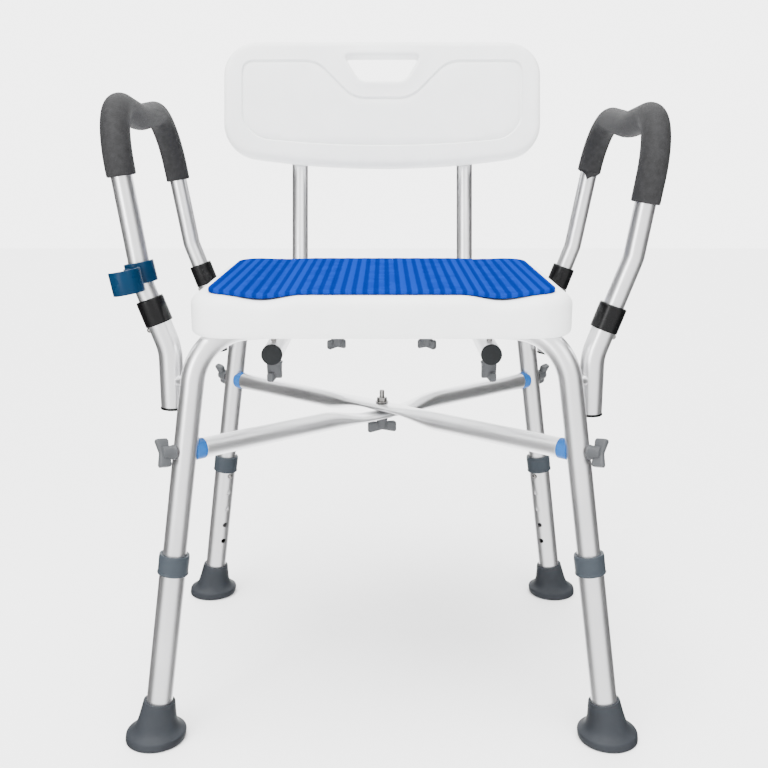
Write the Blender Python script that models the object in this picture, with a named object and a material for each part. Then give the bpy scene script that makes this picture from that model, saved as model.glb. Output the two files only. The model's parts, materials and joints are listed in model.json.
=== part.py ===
"""Shower chair: moulded seat and backrest on a bent-tube frame, lift-out arms, adjustable legs.

Units are metres and +Z is up. The feet stand on z = 0 and the person on the chair faces -Y.
Everything is worked out in a frame whose origin lies on the floor, midway between the four legs.
ORIGIN then moves it, so that the part's origin is the middle of its box on the floor.
Corner pieces are drawn once, for the rear right corner (+X, +Y), and mirrored to the others.
"""

import math

import bmesh
import bpy
from mathutils import Matrix, Vector

ORIGIN = Vector((-0.0018, -0.0335, 0.0))

# Tube sizes: 1 1/8, 1 and 7/8 inch tube, as outer radii, all with the same wall
SLEEVE_R = 0.0143
FRAME_R = 0.0127
SLIM_R = 0.0111
WALL = 0.0012
GAP = 0.0004
SIDES = 10

# Legs: the axis of the rear right leg at the height of the brace, and its splay per metre down
BRACE_Z = 0.330
LEG_X = 0.2093
LEG_Y = 0.1797
SPLAY_X = 0.1356
SPLAY_Y = 0.0430
RAIL_Z = 0.458
RAIL_BOW_Y = 0.115
RAIL_STRAIGHT_X = 0.066
RAIL_BOLT_X = 0.050
BEND_R = 0.060

# Distances down the leg from the brace's height
LEG_END = 0.2062
SLEEVE_TOP = 0.1168
SLEEVE_END = 0.3208
COLLAR_TOP = 0.1152
COLLAR_END = 0.1374
BUTTON_DOWN = 0.1428
HOLE_PITCH = 0.0254
HOLE_COUNT = 5
BUTTON_TURN = math.radians(38.0)

# The braces' ends, as distances from the middle
BRACE_END = 0.2540

# Screws and holes
BOLT_R = 0.0030
HOLE_R = 0.0036

# Feet
FOOT_R = 0.0335
FOOT_TOP_Z = 0.0455

# Seat, its underside recess and its mat
SEAT_HALF_X = 0.202
SEAT_Y = (-0.191, 0.134)
SEAT_Z = (0.4526, 0.4960)
SEAT_CORNER_R = 0.042
SEAT_UNDER_Z = 0.4712
RIM = 0.015
SKIN = 0.0030
TROUGH_X = 0.125
TROUGH_HALF = 0.040
TROUGH_DEPTH = 0.006
TROUGH_REAR_DEPTH = 0.0012
SEAT_RISE = 0.006
MAT_HALF_X = 0.1845
MAT_Y = (-0.173, 0.116)
MAT_THICK = 0.0045
MAT_GAP = 0.0009
MAT_CORNER_R = 0.030

# Backrest and its tubes
BACK_X = 0.1165
BACK_TUBE_Z = 0.4315
BACK_TUBE_FRONT_Y = -0.160
BACK_TUBE_TOP_Z = 0.764
RECLINE = math.radians(12.7)
RECLINE_Y = 0.2080
PANEL_HALF_X = 0.2200
PANEL_HEIGHT = 0.174
PANEL_THICK = 0.026
PANEL_LOW_Z = 0.6185

# Arms: the socket's axis, the leaning line through the collar, and the loop above it.
# The right arm sits lower than the left one, and leans out further.
SOCKET_X = {"front": 0.2245, "rear": 0.2275}
ARM_Y = 0.158
SOCKET_HEIGHT = 0.117
SPACER_Z = 0.404
COLLAR_X = {"front": 0.2443, "rear": 0.2473}
COLLAR_Z = {"front_left": 0.4910, "front_right": 0.4840, "rear_left": 0.4945, "rear_right": 0.4910}
COLLAR_LEAN = math.radians(20.0)
COLLAR_LENGTH = 0.028
SOCKET_TOP_DOWN = 0.0045
ARM_DEPTH = 0.040
ARM_BUTTON_DOWN = 0.0314
ARM_TURN_Z = {"front_left": 0.5060, "front_right": 0.5340, "rear_left": 0.5225, "rear_right": 0.5190}
ARM_TOP_X = {"front_left": 0.2775, "front_right": 0.2868, "rear_left": 0.2872, "rear_right": 0.2885}
ARM_TOP_Z = {"front_left": 0.6935, "front_right": 0.6830, "rear_left": 0.6950, "rear_right": 0.6885}
ARM_DIP = 0.0135
ARM_BEND_R = 0.065
GRIP_R = 0.0153
GRIP_LOW_Z = {"front_left": 0.617, "front_right": 0.5895, "rear_left": 0.606, "rear_right": 0.618}

# Hand shower clip, round the left arm's front leg; its cradle hangs a little below its ring
CLIP_X = 0.2516
CLIP_Z = 0.5185
CLIP_LEAN = math.radians(11.0)
CLIP_PLAY = 0.0014
CLIP_HEIGHT = 0.022
CLIP_WALL = 0.003
CRADLE_HEIGHT = 0.0245
CRADLE_DROP = 0.005
CRADLE_R = 0.0165
CRADLE_X = -0.0094
CRADLE_Y = -0.0280

WHITE = ((0.90, 0.91, 0.90), 0.45, 0.0)
BLUE = ((0.02, 0.15, 0.62), 0.60, 0.0)
ALUMINIUM = ((0.80, 0.80, 0.81), 0.35, 1.0)
STEEL = ((0.45, 0.44, 0.43), 0.35, 1.0)
FOAM = ((0.030, 0.031, 0.034), 0.90, 0.0)
BLACK = ((0.025, 0.026, 0.028), 0.50, 0.0)
GREY = ((0.16, 0.19, 0.22), 0.50, 0.0)
RUBBER = ((0.13, 0.14, 0.16), 0.75, 0.0)
KNOB = ((0.28, 0.29, 0.30), 0.50, 0.0)
LIGHT_BLUE = ((0.12, 0.38, 0.62), 0.45, 0.0)
TEAL = ((0.01, 0.10, 0.22), 0.40, 0.0)

LEG_FOOT_POINT = Vector((LEG_X, LEG_Y, BRACE_Z))
LEG_UP = Vector((-SPLAY_X, -SPLAY_Y, 1.0)).normalized()
BOLT_OUT = Vector((LEG_X, LEG_Y, 0.0)).normalized()
ARM_AXIS = Vector((math.sin(COLLAR_LEAN), 0.0, math.cos(COLLAR_LEAN)))
ARM_OUT = Vector((math.cos(COLLAR_LEAN), 0.0, -math.sin(COLLAR_LEAN)))
PANEL_UP = Vector((0.0, math.sin(RECLINE), math.cos(RECLINE)))
PANEL_FRONT = Vector((0.0, -math.cos(RECLINE), math.sin(RECLINE)))


def clear_scene():
    for obj in list(bpy.data.objects):
        bpy.data.objects.remove(obj, do_unlink=True)


def square_to(direction, axis):
    """The part of a direction at right angles to an axis, as a unit vector."""
    return (direction - direction.dot(axis) * axis).normalized()


def axes(origin, along, hint):
    """A frame at origin with Z along one direction and X as close as possible to another."""
    z = along.normalized()
    x = square_to(hint, z)
    frame = Matrix((x, z.cross(x), z)).transposed().to_4x4()
    frame.translation = origin
    return frame


def rounded_path(corners, radii, steps):
    """A polyline through the corners, each inner corner turned into an arc."""
    path = [corners[0]]
    for index, radius in enumerate(radii):
        before, corner, after = corners[index : index + 3]
        back = (before - corner).normalized()
        ahead = (after - corner).normalized()
        turn = math.pi - back.angle(ahead)
        start = corner + back * radius * math.tan(turn / 2)
        centre = corner + (back + ahead).normalized() * radius / math.cos(turn / 2)
        spin_axis = ahead.cross(back)
        for step in range(steps[index] + 1):
            turned = Matrix.Rotation(turn * step / steps[index], 3, spin_axis)
            path.append(centre + turned @ (start - centre))
    path.append(corners[-1])
    return path


def along_path(path, hint):
    """A frame at each point of a path, carried along it without twisting."""
    frames = []
    for index, point in enumerate(path):
        ahead = path[min(index + 1, len(path) - 1)] - point
        behind = point - path[max(index - 1, 0)]
        tangent = ahead.normalized() + behind.normalized()
        frames.append(axes(point, tangent, hint))
        hint = frames[-1].to_3x3().col[0]
    return frames


def ring(frame, radius, height=0.0, half_height=None, shift=0.0, sides=SIDES):
    """Points of a circle, or an ellipse, in a frame's XY plane, height along its Z."""
    across = radius if half_height is None else half_height
    points = []
    for side in range(sides):
        angle = 2 * math.pi * side / sides
        local = Vector((across * math.cos(angle) + shift, radius * math.sin(angle), height))
        points.append(frame @ local)
    return points


def skin(rings, closed=False):
    """A closed body over a row of rings: capped at both ends, or joined end to start."""
    bm = bmesh.new()
    rows = [[bm.verts.new(point) for point in points] for points in rings]
    pairs = list(zip(rows, rows[1:]))
    if closed:
        pairs.append((rows[-1], rows[0]))
    else:
        bm.faces.new(rows[0])
        bm.faces.new(rows[-1])
    for low, high in pairs:
        for side in range(len(low)):
            after = (side + 1) % len(low)
            bm.faces.new((low[side], low[after], high[after], high[side]))
    bmesh.ops.recalc_face_normals(bm, faces=bm.faces)
    return bm


def turned(frame, profile, closed=False, sides=SIDES):
    """A turned body: the profile is a list of (radius, height) along the frame's Z."""
    return skin([ring(frame, r, h, sides=sides) for r, h in profile], closed)


def tube(frames, radius, inner):
    """A hollow tube, open at both ends."""
    outside = [ring(frame, radius) for frame in frames]
    inside = [ring(frame, inner) for frame in frames]
    return skin(outside + inside[::-1], closed=True)


def rod(start, end, radius, sides=SIDES, hint=Vector((0.3, 1.0, 0.2))):
    frame = axes(start, end - start, hint)
    return turned(frame, [(radius, 0.0), (radius, (end - start).length)], sides=sides)


def prism(outline, low, high):
    """An outline in XY between two heights."""
    return skin([[Vector((x, y, z)) for x, y in outline] for z in (low, high)])


def gather(parts):
    """Several separate closed bodies in one bmesh, for use as one cutter."""
    whole = bmesh.new()
    for part in parts:
        mesh = bpy.data.meshes.new("part")
        part.to_mesh(mesh)
        part.free()
        whole.from_mesh(mesh)
        bpy.data.meshes.remove(mesh)
    return whole


def boolean(body, tool, operation="DIFFERENCE"):
    """Both bodies are used up, and the result is a new one."""
    pair = []
    for bm in (body, tool):
        mesh = bpy.data.meshes.new("scratch")
        bm.to_mesh(mesh)
        bm.free()
        pair.append(bpy.data.objects.new("scratch", mesh))
        bpy.context.scene.collection.objects.link(pair[-1])
    modifier = pair[0].modifiers.new("combine", "BOOLEAN")
    modifier.operation = operation
    modifier.solver = "EXACT"
    modifier.object = pair[1]
    result = bmesh.new()
    result.from_object(pair[0], bpy.context.evaluated_depsgraph_get())
    for obj in pair:
        bpy.data.meshes.remove(obj.data, do_unlink=True)
    return result


def mirrored(bm, side_x, side_y):
    """Mirror a body into another corner; 1 keeps an axis and -1 flips it."""
    bmesh.ops.scale(bm, vec=(side_x, side_y, 1.0), verts=bm.verts)
    if side_x * side_y < 0:
        bmesh.ops.reverse_faces(bm, faces=bm.faces)
    return bm


def finish(name, bm, look, origin=Vector((0.0, 0.0, 0.0))):
    """Make the named object, with its own material and its origin at the given point."""
    bmesh.ops.translate(bm, vec=-Vector(origin), verts=bm.verts)
    mesh = bpy.data.meshes.new(name)
    bm.to_mesh(mesh)
    bm.free()
    mesh.shade_smooth()
    mesh.set_sharp_from_angle(angle=math.radians(40.0))
    colour, roughness, metallic = look
    material = bpy.data.materials.new(name)
    material.use_nodes = True
    shader = material.node_tree.nodes["Principled BSDF"]
    shader.inputs["Base Color"].default_value = (*colour, 1.0)
    shader.inputs["Roughness"].default_value = roughness
    shader.inputs["Metallic"].default_value = metallic
    mesh.materials.append(material)
    obj = bpy.data.objects.new(name, mesh)
    obj.location = Vector(origin) + ORIGIN
    bpy.context.scene.collection.objects.link(obj)
    return obj


def corners():
    """The four corners, as a name with the signs of X and Y."""
    for end, side_y in (("front", -1), ("rear", 1)):
        for side, side_x in (("left", -1), ("right", 1)):
            yield f"{end}_{side}", end, side_x, side_y


def down_leg(distance):
    """A point on the rear right leg's axis, below the brace's height."""
    return LEG_FOOT_POINT - LEG_UP * distance


def leg_at_height(z):
    return down_leg((BRACE_Z - z) / LEG_UP.z)


def half_frame_path():
    """From the middle of the rear rail out to the corner and down to the leg's end."""
    middle = Vector((0.0, RAIL_BOW_Y, RAIL_Z))
    turn = Vector((RAIL_STRAIGHT_X, RAIL_BOW_Y, RAIL_Z))
    corner = leg_at_height(RAIL_Z)
    return rounded_path([middle, turn, corner, down_leg(LEG_END)], [BEND_R, BEND_R], [2, 6])


HALF_FRAME = along_path(half_frame_path(), Vector((0.0, 0.0, 1.0)))
LEG_HINT = HALF_FRAME[-1].to_3x3().col[0]
LEG_FRAME = axes(LEG_FOOT_POINT, -LEG_UP, LEG_HINT)
BUTTON_IN = square_to(Vector((-math.sin(BUTTON_TURN), -math.cos(BUTTON_TURN), 0.0)), LEG_UP)
LEG_BOLT_OUT = square_to(BOLT_OUT, LEG_UP)


def side_mirrored(points):
    return [Vector((-point.x, point.y, point.z)) for point in points]


def frame_rings(radius):
    """Rings of the whole leg frame, from the left leg's end to the right leg's."""
    right = [ring(frame, radius) for frame in HALF_FRAME]
    left = [side_mirrored(points) for points in right[:0:-1]]
    return left + right


def rail_y(x):
    """The rear rail's y at a distance from the middle, past its straight stretch."""
    corner = leg_at_height(RAIL_Z)
    slope = (corner.y - RAIL_BOW_Y) / (corner.x - RAIL_STRAIGHT_X)
    return RAIL_BOW_Y + (x - RAIL_STRAIGHT_X) * slope


def make_leg_frame(name, side_y):
    body = skin(frame_rings(FRAME_R) + frame_rings(FRAME_R - WALL)[::-1], closed=True)
    holes = []
    for side_x in (-1, 1):
        button = down_leg(BUTTON_DOWN)
        corner_holes = [
            rod(LEG_FOOT_POINT - LEG_BOLT_OUT * 0.02, LEG_FOOT_POINT + LEG_BOLT_OUT * 0.02, HOLE_R, 6),
            rod(button + BUTTON_IN * 0.005, button + BUTTON_IN * 0.02, HOLE_R, 6),
        ]
        holes += [mirrored(hole, side_x, 1) for hole in corner_holes]
        uprights = [(RAIL_BOLT_X, RAIL_BOW_Y)]
        if side_y < 0:
            uprights.append((BACK_X, rail_y(BACK_X)))
        for x, y in uprights:
            low, high = (Vector((side_x * x, y, RAIL_Z + rise)) for rise in (-0.02, 0.02))
            holes.append(rod(low, high, HOLE_R, 6))
    body = boolean(body, gather(holes))
    finish(name, mirrored(body, 1, side_y), ALUMINIUM)


def make_leg_sleeve(name, side_x, side_y):
    outside = [ring(LEG_FRAME, SLEEVE_R, height) for height in (SLEEVE_TOP, SLEEVE_END)]
    inside = [ring(LEG_FRAME, FRAME_R + GAP, height) for height in (SLEEVE_END, SLEEVE_TOP)]
    body = skin(outside + inside, closed=True)
    holes = []
    for number in range(HOLE_COUNT):
        centre = down_leg(BUTTON_DOWN + number * HOLE_PITCH)
        holes.append(rod(centre + BUTTON_IN * 0.005, centre + BUTTON_IN * 0.02, HOLE_R, 6))
    body = boolean(body, gather(holes))
    finish(name, mirrored(body, side_x, side_y), ALUMINIUM, corner_point(side_x, side_y))


def corner_point(side_x, side_y):
    """The point on a leg's axis at the brace's height, in a given corner."""
    return Vector((side_x * LEG_X, side_y * LEG_Y, BRACE_Z))


def make_leg_collar(name, side_x, side_y):
    over_sleeve = SLEEVE_R + GAP
    over_leg = FRAME_R + GAP
    lip = SLEEVE_TOP - GAP
    profile = [
        (0.0163, COLLAR_END),
        (0.0167, COLLAR_TOP + 0.0020),
        (0.0157, COLLAR_TOP),
        (over_leg, COLLAR_TOP),
        (over_leg, lip),
        (over_sleeve, lip),
        (over_sleeve, COLLAR_END),
    ]
    body = turned(LEG_FRAME, profile, closed=True)
    finish(name, mirrored(body, side_x, side_y), GREY, corner_point(side_x, side_y))


def make_foot(name, side_x, side_y):
    """Level rings on the floor that turn into rings square to the leg, then the bore."""
    rings = []
    for radius, z in ((0.0325, 0.0), (FOOT_R, 0.0080), (0.0300, 0.0125), (0.0240, 0.0170)):
        centre = leg_at_height(z)
        rings.append(ring(axes(centre, Vector((0.0, 0.0, -1.0)), LEG_HINT), radius))
    top = (BRACE_Z - FOOT_TOP_Z) / LEG_UP.z
    bore = SLEEVE_R + GAP
    for radius, height in ((0.0178, top + 0.003), (0.0168, top), (bore, top)):
        rings.append(ring(LEG_FRAME, radius, height))
    rings.append(ring(LEG_FRAME, bore, SLEEVE_END + GAP))
    body = skin(rings)
    finish(name, mirrored(body, side_x, side_y), RUBBER, corner_point(side_x, side_y))


def make_button(name, side_x, side_y, origin, outward, flange_out, tip_out):
    """A snap button: a pin with a flange inside the tube, pressed out by its spring clip."""
    profile = [
        (0.0045, flange_out - 0.0010),
        (0.0045, flange_out),
        (BOLT_R, flange_out),
        (BOLT_R, tip_out - 0.0008),
        (0.0020, tip_out),
    ]
    body = turned(axes(origin, outward, Vector((0.0, 0.0, 1.0))), profile, sides=6)
    place = Vector((side_x * origin.x, side_y * origin.y, origin.z))
    finish(name, mirrored(body, side_x, side_y), STEEL, place)


def wing_bolt(shank, hub_r, hub_length, wing_half, wing_width):
    """A wing bolt along +Z: thread end at -shank, the hub's face at 0, the wing at its outer end."""
    frame = Matrix.Identity(4)
    bolt = turned(
        frame,
        [(BOLT_R, -shank), (BOLT_R, 0.0), (hub_r, 0.0), (hub_r * 0.88, hub_length)],
        sides=8,
    )
    thick = 0.0028
    low = hub_length - wing_width * 0.7
    high = hub_length + wing_width * 0.3
    rings = []
    for x, trim in ((-wing_half, 0.003), (0.0, 0.0), (wing_half, 0.003)):
        rings.append(
            [
                Vector((x, -thick, low + trim)),
                Vector((x, thick, low + trim)),
                Vector((x, thick, high - trim)),
                Vector((x, -thick, high - trim)),
            ]
        )
    return boolean(bolt, skin(rings), "UNION")


def place_bolt(name, bolt, frame, side_x=1, side_y=1):
    bmesh.ops.transform(bolt, matrix=frame, verts=bolt.verts)
    point = frame.translation
    origin = Vector((side_x * point.x, side_y * point.y, point.z))
    finish(name, mirrored(bolt, side_x, side_y), KNOB, origin)


def make_corner_pieces():
    button = down_leg(BUTTON_DOWN)
    for name, end, side_x, side_y in corners():
        make_leg_sleeve(f"leg_sleeve_{name}", side_x, side_y)
        make_leg_collar(f"leg_collar_{name}", side_x, side_y)
        make_foot(f"foot_{name}", side_x, side_y)
        make_button(f"leg_button_{name}", side_x, side_y, button, BUTTON_IN, 0.0096, 0.0172)
        make_brace_plug(f"brace_plug_{name}", side_x, side_y)
        hub = LEG_FOOT_POINT + LEG_BOLT_OUT * (FRAME_R + GAP)
        frame = axes(hub, LEG_BOLT_OUT, Vector((0.35, -0.30, 1.0)))
        bolt = wing_bolt(0.039, 0.0082, 0.0150, 0.0150, 0.0150)
        place_bolt(f"leg_wing_bolt_{name}", bolt, frame, side_x, side_y)
        make_arm_socket(f"arm_socket_{name}", name, side_x, side_y)
        make_arm_collar(f"arm_collar_{name}", name, side_x)
        arm_button = arm_seat_point(name, ARM_BUTTON_DOWN)
        arm_button.y *= side_y
        make_button(f"arm_button_{name}", side_x, side_y, arm_button, ARM_OUT, 0.0080, 0.0156)


def make_brace_tube(name, side_y, layer):
    """Round at both ends and pressed flat in the middle, above or below the other tube."""
    across = Vector((0.0, 0.0, 1.0))
    stations = [(0.065, SLIM_R, SLIM_R, 0.0), (0.045, 0.0130, 0.0080, 0.0026)]
    stations.append((0.022, 0.0146, 0.0049, 0.0051))
    ends = [(BRACE_END, SLIM_R, SLIM_R, 0.0)]
    row = [(-t, a, b, c) for t, a, b, c in ends + stations]
    row += [(t, a, b, c) for t, a, b, c in (ends + stations)[::-1]]
    frames = []
    for t, half_width, half_height, shift in row:
        point = Vector((0.0, 0.0, BRACE_Z)) + BOLT_OUT * t
        frames.append((axes(point, BOLT_OUT, across), half_width, half_height, shift * layer))
    outside = [ring(f, a, half_height=b, shift=c) for f, a, b, c in frames]
    inside = [ring(f, a - WALL, half_height=b - WALL, shift=c) for f, a, b, c in frames]
    body = skin(outside + inside[::-1], closed=True)
    low, high = (Vector((0.0, 0.0, BRACE_Z + rise)) for rise in (-0.02, 0.02))
    body = boolean(body, rod(low, high, HOLE_R, 6))
    finish(name, mirrored(body, 1, side_y), ALUMINIUM)


def make_brace_plug(name, side_x, side_y):
    """Fits into the brace tube's end, with a saddle against the leg and a bore for the bolt."""
    frame = axes(Vector((0.0, 0.0, BRACE_Z)), BOLT_OUT, Vector((0.0, 0.0, 1.0)))
    insert_r = SLIM_R - WALL - GAP
    face = BRACE_END + GAP
    profile = [(insert_r, BRACE_END - 0.0195), (insert_r, face), (0.0113, face), (0.0113, 0.2660)]
    body = turned(frame, profile)
    leg = turned(LEG_FRAME, [(FRAME_R + GAP, -0.03), (FRAME_R + GAP, 0.03)])
    body = boolean(body, leg)
    bore = rod(LEG_FOOT_POINT - LEG_BOLT_OUT * 0.028, LEG_FOOT_POINT, HOLE_R, 6)
    finish(name, mirrored(boolean(body, bore), side_x, side_y), LIGHT_BLUE)


def make_brace_fasteners():
    down = axes(Vector((0.0, 0.0, BRACE_Z - 0.0104)), Vector((0.0, 0.0, -1.0)), Vector((1.0, 0.2, 0.0)))
    place_bolt("brace_wing_bolt", wing_bolt(0.0360, 0.0070, 0.0120, 0.0175, 0.0140), down)
    up = axes(Vector((0.0, 0.0, BRACE_Z + 0.0104)), Vector((0.0, 0.0, 1.0)), Vector((1.0, 0.0, 0.0)))
    profile = [(HOLE_R, 0.0), (0.0080, 0.0), (0.0080, 0.0012), (0.0062, 0.0012), (0.0062, 0.0060)]
    profile.append((HOLE_R, 0.0060))
    finish("brace_nut", turned(up, profile, closed=True, sides=6), STEEL)


def arm_seat_point(corner, distance):
    """A point on the leaning line of an arm's end, below the collar's top, on the +X side."""
    end = corner.split("_")[0]
    side_y = 1 if end == "rear" else -1
    return Vector((COLLAR_X[end], side_y * ARM_Y, COLLAR_Z[corner])) - ARM_AXIS * distance


def on_arm_line(corner, z):
    return arm_seat_point(corner, (COLLAR_Z[corner] - z) / ARM_AXIS.z)


def arm_path(side):
    """An arm on the +X side, from its front end in the socket over the loop to its rear end."""
    front, rear = f"front_{side}", f"rear_{side}"
    top_front = Vector((ARM_TOP_X[front], -ARM_Y, ARM_TOP_Z[front]))
    top_rear = Vector((ARM_TOP_X[rear], ARM_Y, ARM_TOP_Z[rear]))
    dip = (top_front + top_rear) / 2 - Vector((0.0, 0.0, ARM_DIP))
    points = [arm_seat_point(front, ARM_DEPTH), on_arm_line(front, ARM_TURN_Z[front]), top_front, dip]
    points += [top_rear, on_arm_line(rear, ARM_TURN_Z[rear]), arm_seat_point(rear, ARM_DEPTH)]
    radii = [0.040, ARM_BEND_R, 0.300, ARM_BEND_R, 0.040]
    return rounded_path(points, radii, [1, 4, 1, 4, 1])


ARM_FRAMES = {side: along_path(arm_path(side), Vector((1.0, 0.0, 0.0))) for side in ("left", "right")}


def arm_end_frame(corner, origin):
    """A frame on the arm's end, with Z up its axis and its ring in line with the tube's."""
    end, side = corner.split("_")
    hint = ARM_FRAMES[side][-1 if end == "rear" else 0].to_3x3().col[0]
    return axes(origin, ARM_AXIS, hint)


def make_arm_tube(name, side, side_x):
    body = tube(ARM_FRAMES[side], SLIM_R, SLIM_R - WALL)
    holes = []
    for end in ("front", "rear"):
        centre = arm_seat_point(f"{end}_{side}", ARM_BUTTON_DOWN)
        holes.append(rod(centre + ARM_OUT * 0.004, centre + ARM_OUT * 0.02, HOLE_R, 6))
    body = boolean(body, gather(holes))
    finish(name, mirrored(body, side_x, 1), ALUMINIUM)


def make_arm_grip(name, side, side_x):
    """Foam over the loop: its ends lie on the arm's two upright stretches."""
    arm = ARM_FRAMES[side]
    loop = arm[3:-3]
    ends = []
    for end, bend, upright in (("front", loop[0], arm[2]), ("rear", loop[-1], arm[-3])):
        top, low = bend.translation, upright.translation
        point = top.lerp(low, (top.z - GRIP_LOW_Z[f"{end}_{side}"]) / (top.z - low.z))
        ahead = top - low if end == "front" else low - top
        ends.append(axes(point, ahead, bend.to_3x3().col[0]))
    body = tube([ends[0], *loop, ends[1]], GRIP_R, SLIM_R + GAP)
    finish(name, mirrored(body, side_x, 1), FOAM)


def make_arm_socket(name, corner, side_x, side_y):
    """A bent tube, closed at its foot, with a spacer that stands against the leg."""
    end = corner.split("_")[0]
    top = arm_seat_point(corner, SOCKET_TOP_DOWN)
    button = arm_seat_point(corner, ARM_BUTTON_DOWN)
    hint = arm_end_frame(corner, top).to_3x3().col[0]
    for vector in (top, button, hint):
        vector.y *= side_y
    collar_z = COLLAR_Z[corner]
    low = Vector((SOCKET_X[end], ARM_Y, collar_z - SOCKET_HEIGHT))
    turn_z = collar_z - (COLLAR_X[end] - SOCKET_X[end]) / math.tan(COLLAR_LEAN)
    turn = Vector((SOCKET_X[end], ARM_Y, turn_z))
    path = rounded_path([low, turn, top], [BEND_R], [2])
    frames = along_path(path[::-1], hint)[::-1]
    outside = [ring(frame, FRAME_R) for frame in frames]
    inside = [ring(frame, SLIM_R + GAP) for frame in frames]
    floor = [point + Vector((0.0, 0.0, 0.002)) for point in inside[0]]
    body = skin(outside + inside[:0:-1] + [floor])
    spot = leg_at_height(SPACER_Z)
    start = Vector((SOCKET_X[end], ARM_Y, SPACER_Z))
    spacer = rod(start + (spot - start).normalized() * (FRAME_R - WALL / 2), spot, 0.006, 8)
    leg = turned(LEG_FRAME, [(FRAME_R + GAP, -0.12), (FRAME_R + GAP, 0.02)])
    body = boolean(body, boolean(spacer, leg), "UNION")
    body = boolean(body, rod(button + ARM_OUT * 0.004, button + ARM_OUT * 0.02, HOLE_R, 6))
    finish(name, mirrored(body, side_x, side_y), ALUMINIUM)


def make_arm_collar(name, corner, side_x):
    frame = arm_end_frame(corner, arm_seat_point(corner, 0.0))
    over_socket = FRAME_R + GAP
    over_arm = SLIM_R + GAP
    lip = GAP - SOCKET_TOP_DOWN
    profile = [
        (0.0143, -COLLAR_LENGTH),
        (0.0148, -0.0015),
        (0.0138, 0.0),
        (over_arm, 0.0),
        (over_arm, lip),
        (over_socket, lip),
        (over_socket, -COLLAR_LENGTH),
    ]
    body = turned(frame, profile, closed=True)
    finish(name, mirrored(body, side_x, 1), BLACK)


def make_back_tube(name, side_x):
    front = Vector((BACK_X, BACK_TUBE_FRONT_Y, BACK_TUBE_Z))
    turn = Vector((BACK_X, RECLINE_Y, BACK_TUBE_Z))
    top = turn + PANEL_UP * (BACK_TUBE_TOP_Z - BACK_TUBE_Z) / PANEL_UP.z
    frames = along_path(rounded_path([front, turn, top], [BEND_R], [5]), Vector((0.0, 0.0, 1.0)))
    body = tube(frames, SLIM_R, SLIM_R - WALL)
    low, high = (Vector((BACK_X, -rail_y(BACK_X), BACK_TUBE_Z + rise)) for rise in (-0.02, 0.02))
    body = boolean(body, rod(low, high, HOLE_R, 6))
    finish(name, mirrored(body, side_x, 1), ALUMINIUM)


def make_back_tube_cap(name, side_x):
    frame = axes(
        Vector((BACK_X, BACK_TUBE_FRONT_Y, BACK_TUBE_Z)), Vector((0.0, -1.0, 0.0)), Vector((0.0, 0.0, 1.0))
    )
    insert_r = SLIM_R - WALL - GAP
    profile = [(insert_r, -0.010), (insert_r, GAP), (0.0114, GAP), (0.0114, 0.0030), (0.0098, 0.0045)]
    finish(name, mirrored(turned(frame, profile), side_x, 1), BLACK)


def make_rail_bolts():
    down = Vector((0.0, 0.0, -1.0))
    for name, end, side_x, side_y in corners():
        face = Vector((RAIL_BOLT_X, RAIL_BOW_Y, RAIL_Z - FRAME_R - GAP))
        frame = axes(face, down, Vector((0.9, 0.5, 0.0)))
        bolt = wing_bolt(0.037, 0.0068, 0.0120, 0.0100, 0.0110)
        place_bolt(f"rail_wing_bolt_{name}", bolt, frame, side_x, side_y)
    for side, side_x in (("left", -1), ("right", 1)):
        face = Vector((BACK_X, rail_y(BACK_X), BACK_TUBE_Z - SLIM_R - GAP))
        frame = axes(face, down, Vector((0.35, 1.0, 0.0)))
        bolt = wing_bolt(0.047, 0.0092, 0.0170, 0.0125, 0.0110)
        place_bolt(f"back_wing_bolt_{side}", bolt, frame, side_x, -1)


def rounded_rectangle(half_x, y_range, radius, steps=4):
    """Points of a rectangle with round corners, anticlockwise."""
    low_y, high_y = y_range
    points = []
    centres = ((1, 1, 0.0), (-1, 1, 0.5), (-1, -1, 1.0), (1, -1, 1.5))
    for side_x, side_y, start in centres:
        x = side_x * (half_x - radius)
        y = high_y - radius if side_y > 0 else low_y + radius
        for step in range(steps + 1):
            angle = math.pi * (start + 0.5 * step / steps)
            points.append((x + radius * math.cos(angle), y + radius * math.sin(angle)))
    return points


def seat_outline(inset):
    y_range = (SEAT_Y[0] + inset, SEAT_Y[1] - inset)
    return rounded_rectangle(SEAT_HALF_X - inset, y_range, SEAT_CORNER_R - inset)


def trough_profile(lift, depth):
    """(x, z) points across the seat's top: level, with two round troughs, raised by lift."""
    top = SEAT_Z[1] + lift
    points = []
    for side in (-1, 1):
        for step in range(-3, 4):
            share = step / 3
            z = top - depth * (1 - share * share)
            points.append((side * TROUGH_X + share * TROUGH_HALF, z))
    return points


def along_seat(front, rear, y_range):
    """A body along Y that runs from a front profile to a rear profile, both in XZ."""
    return skin([[Vector((x, y, z)) for x, z in profile] for profile, y in zip((front, rear), y_range)])


def rail_cutters():
    """Room for both leg frames' rails, as solid bars of a slightly larger radius."""
    bars = []
    for side_y in (-1, 1):
        bars.append(mirrored(skin(frame_rings(FRAME_R + 0.0006)), 1, side_y))
    return gather(bars)


def rail_bolt_rods(radius, low_z, high_z, sides):
    rods = []
    for name, end, side_x, side_y in corners():
        x, y = side_x * RAIL_BOLT_X, side_y * RAIL_BOW_Y
        rods.append(rod(Vector((x, y, low_z)), Vector((x, y, high_z)), radius, sides))
    return gather(rods)


def tilt_top(bm):
    """Raise everything above the seat's side walls, by more towards the rear."""
    for vert in bm.verts:
        if vert.co.z > SEAT_UNDER_Z + SKIN + GAP:
            vert.co.z += SEAT_RISE * (vert.co.y - SEAT_Y[0]) / (SEAT_Y[1] - SEAT_Y[0])
    return bm


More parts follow.
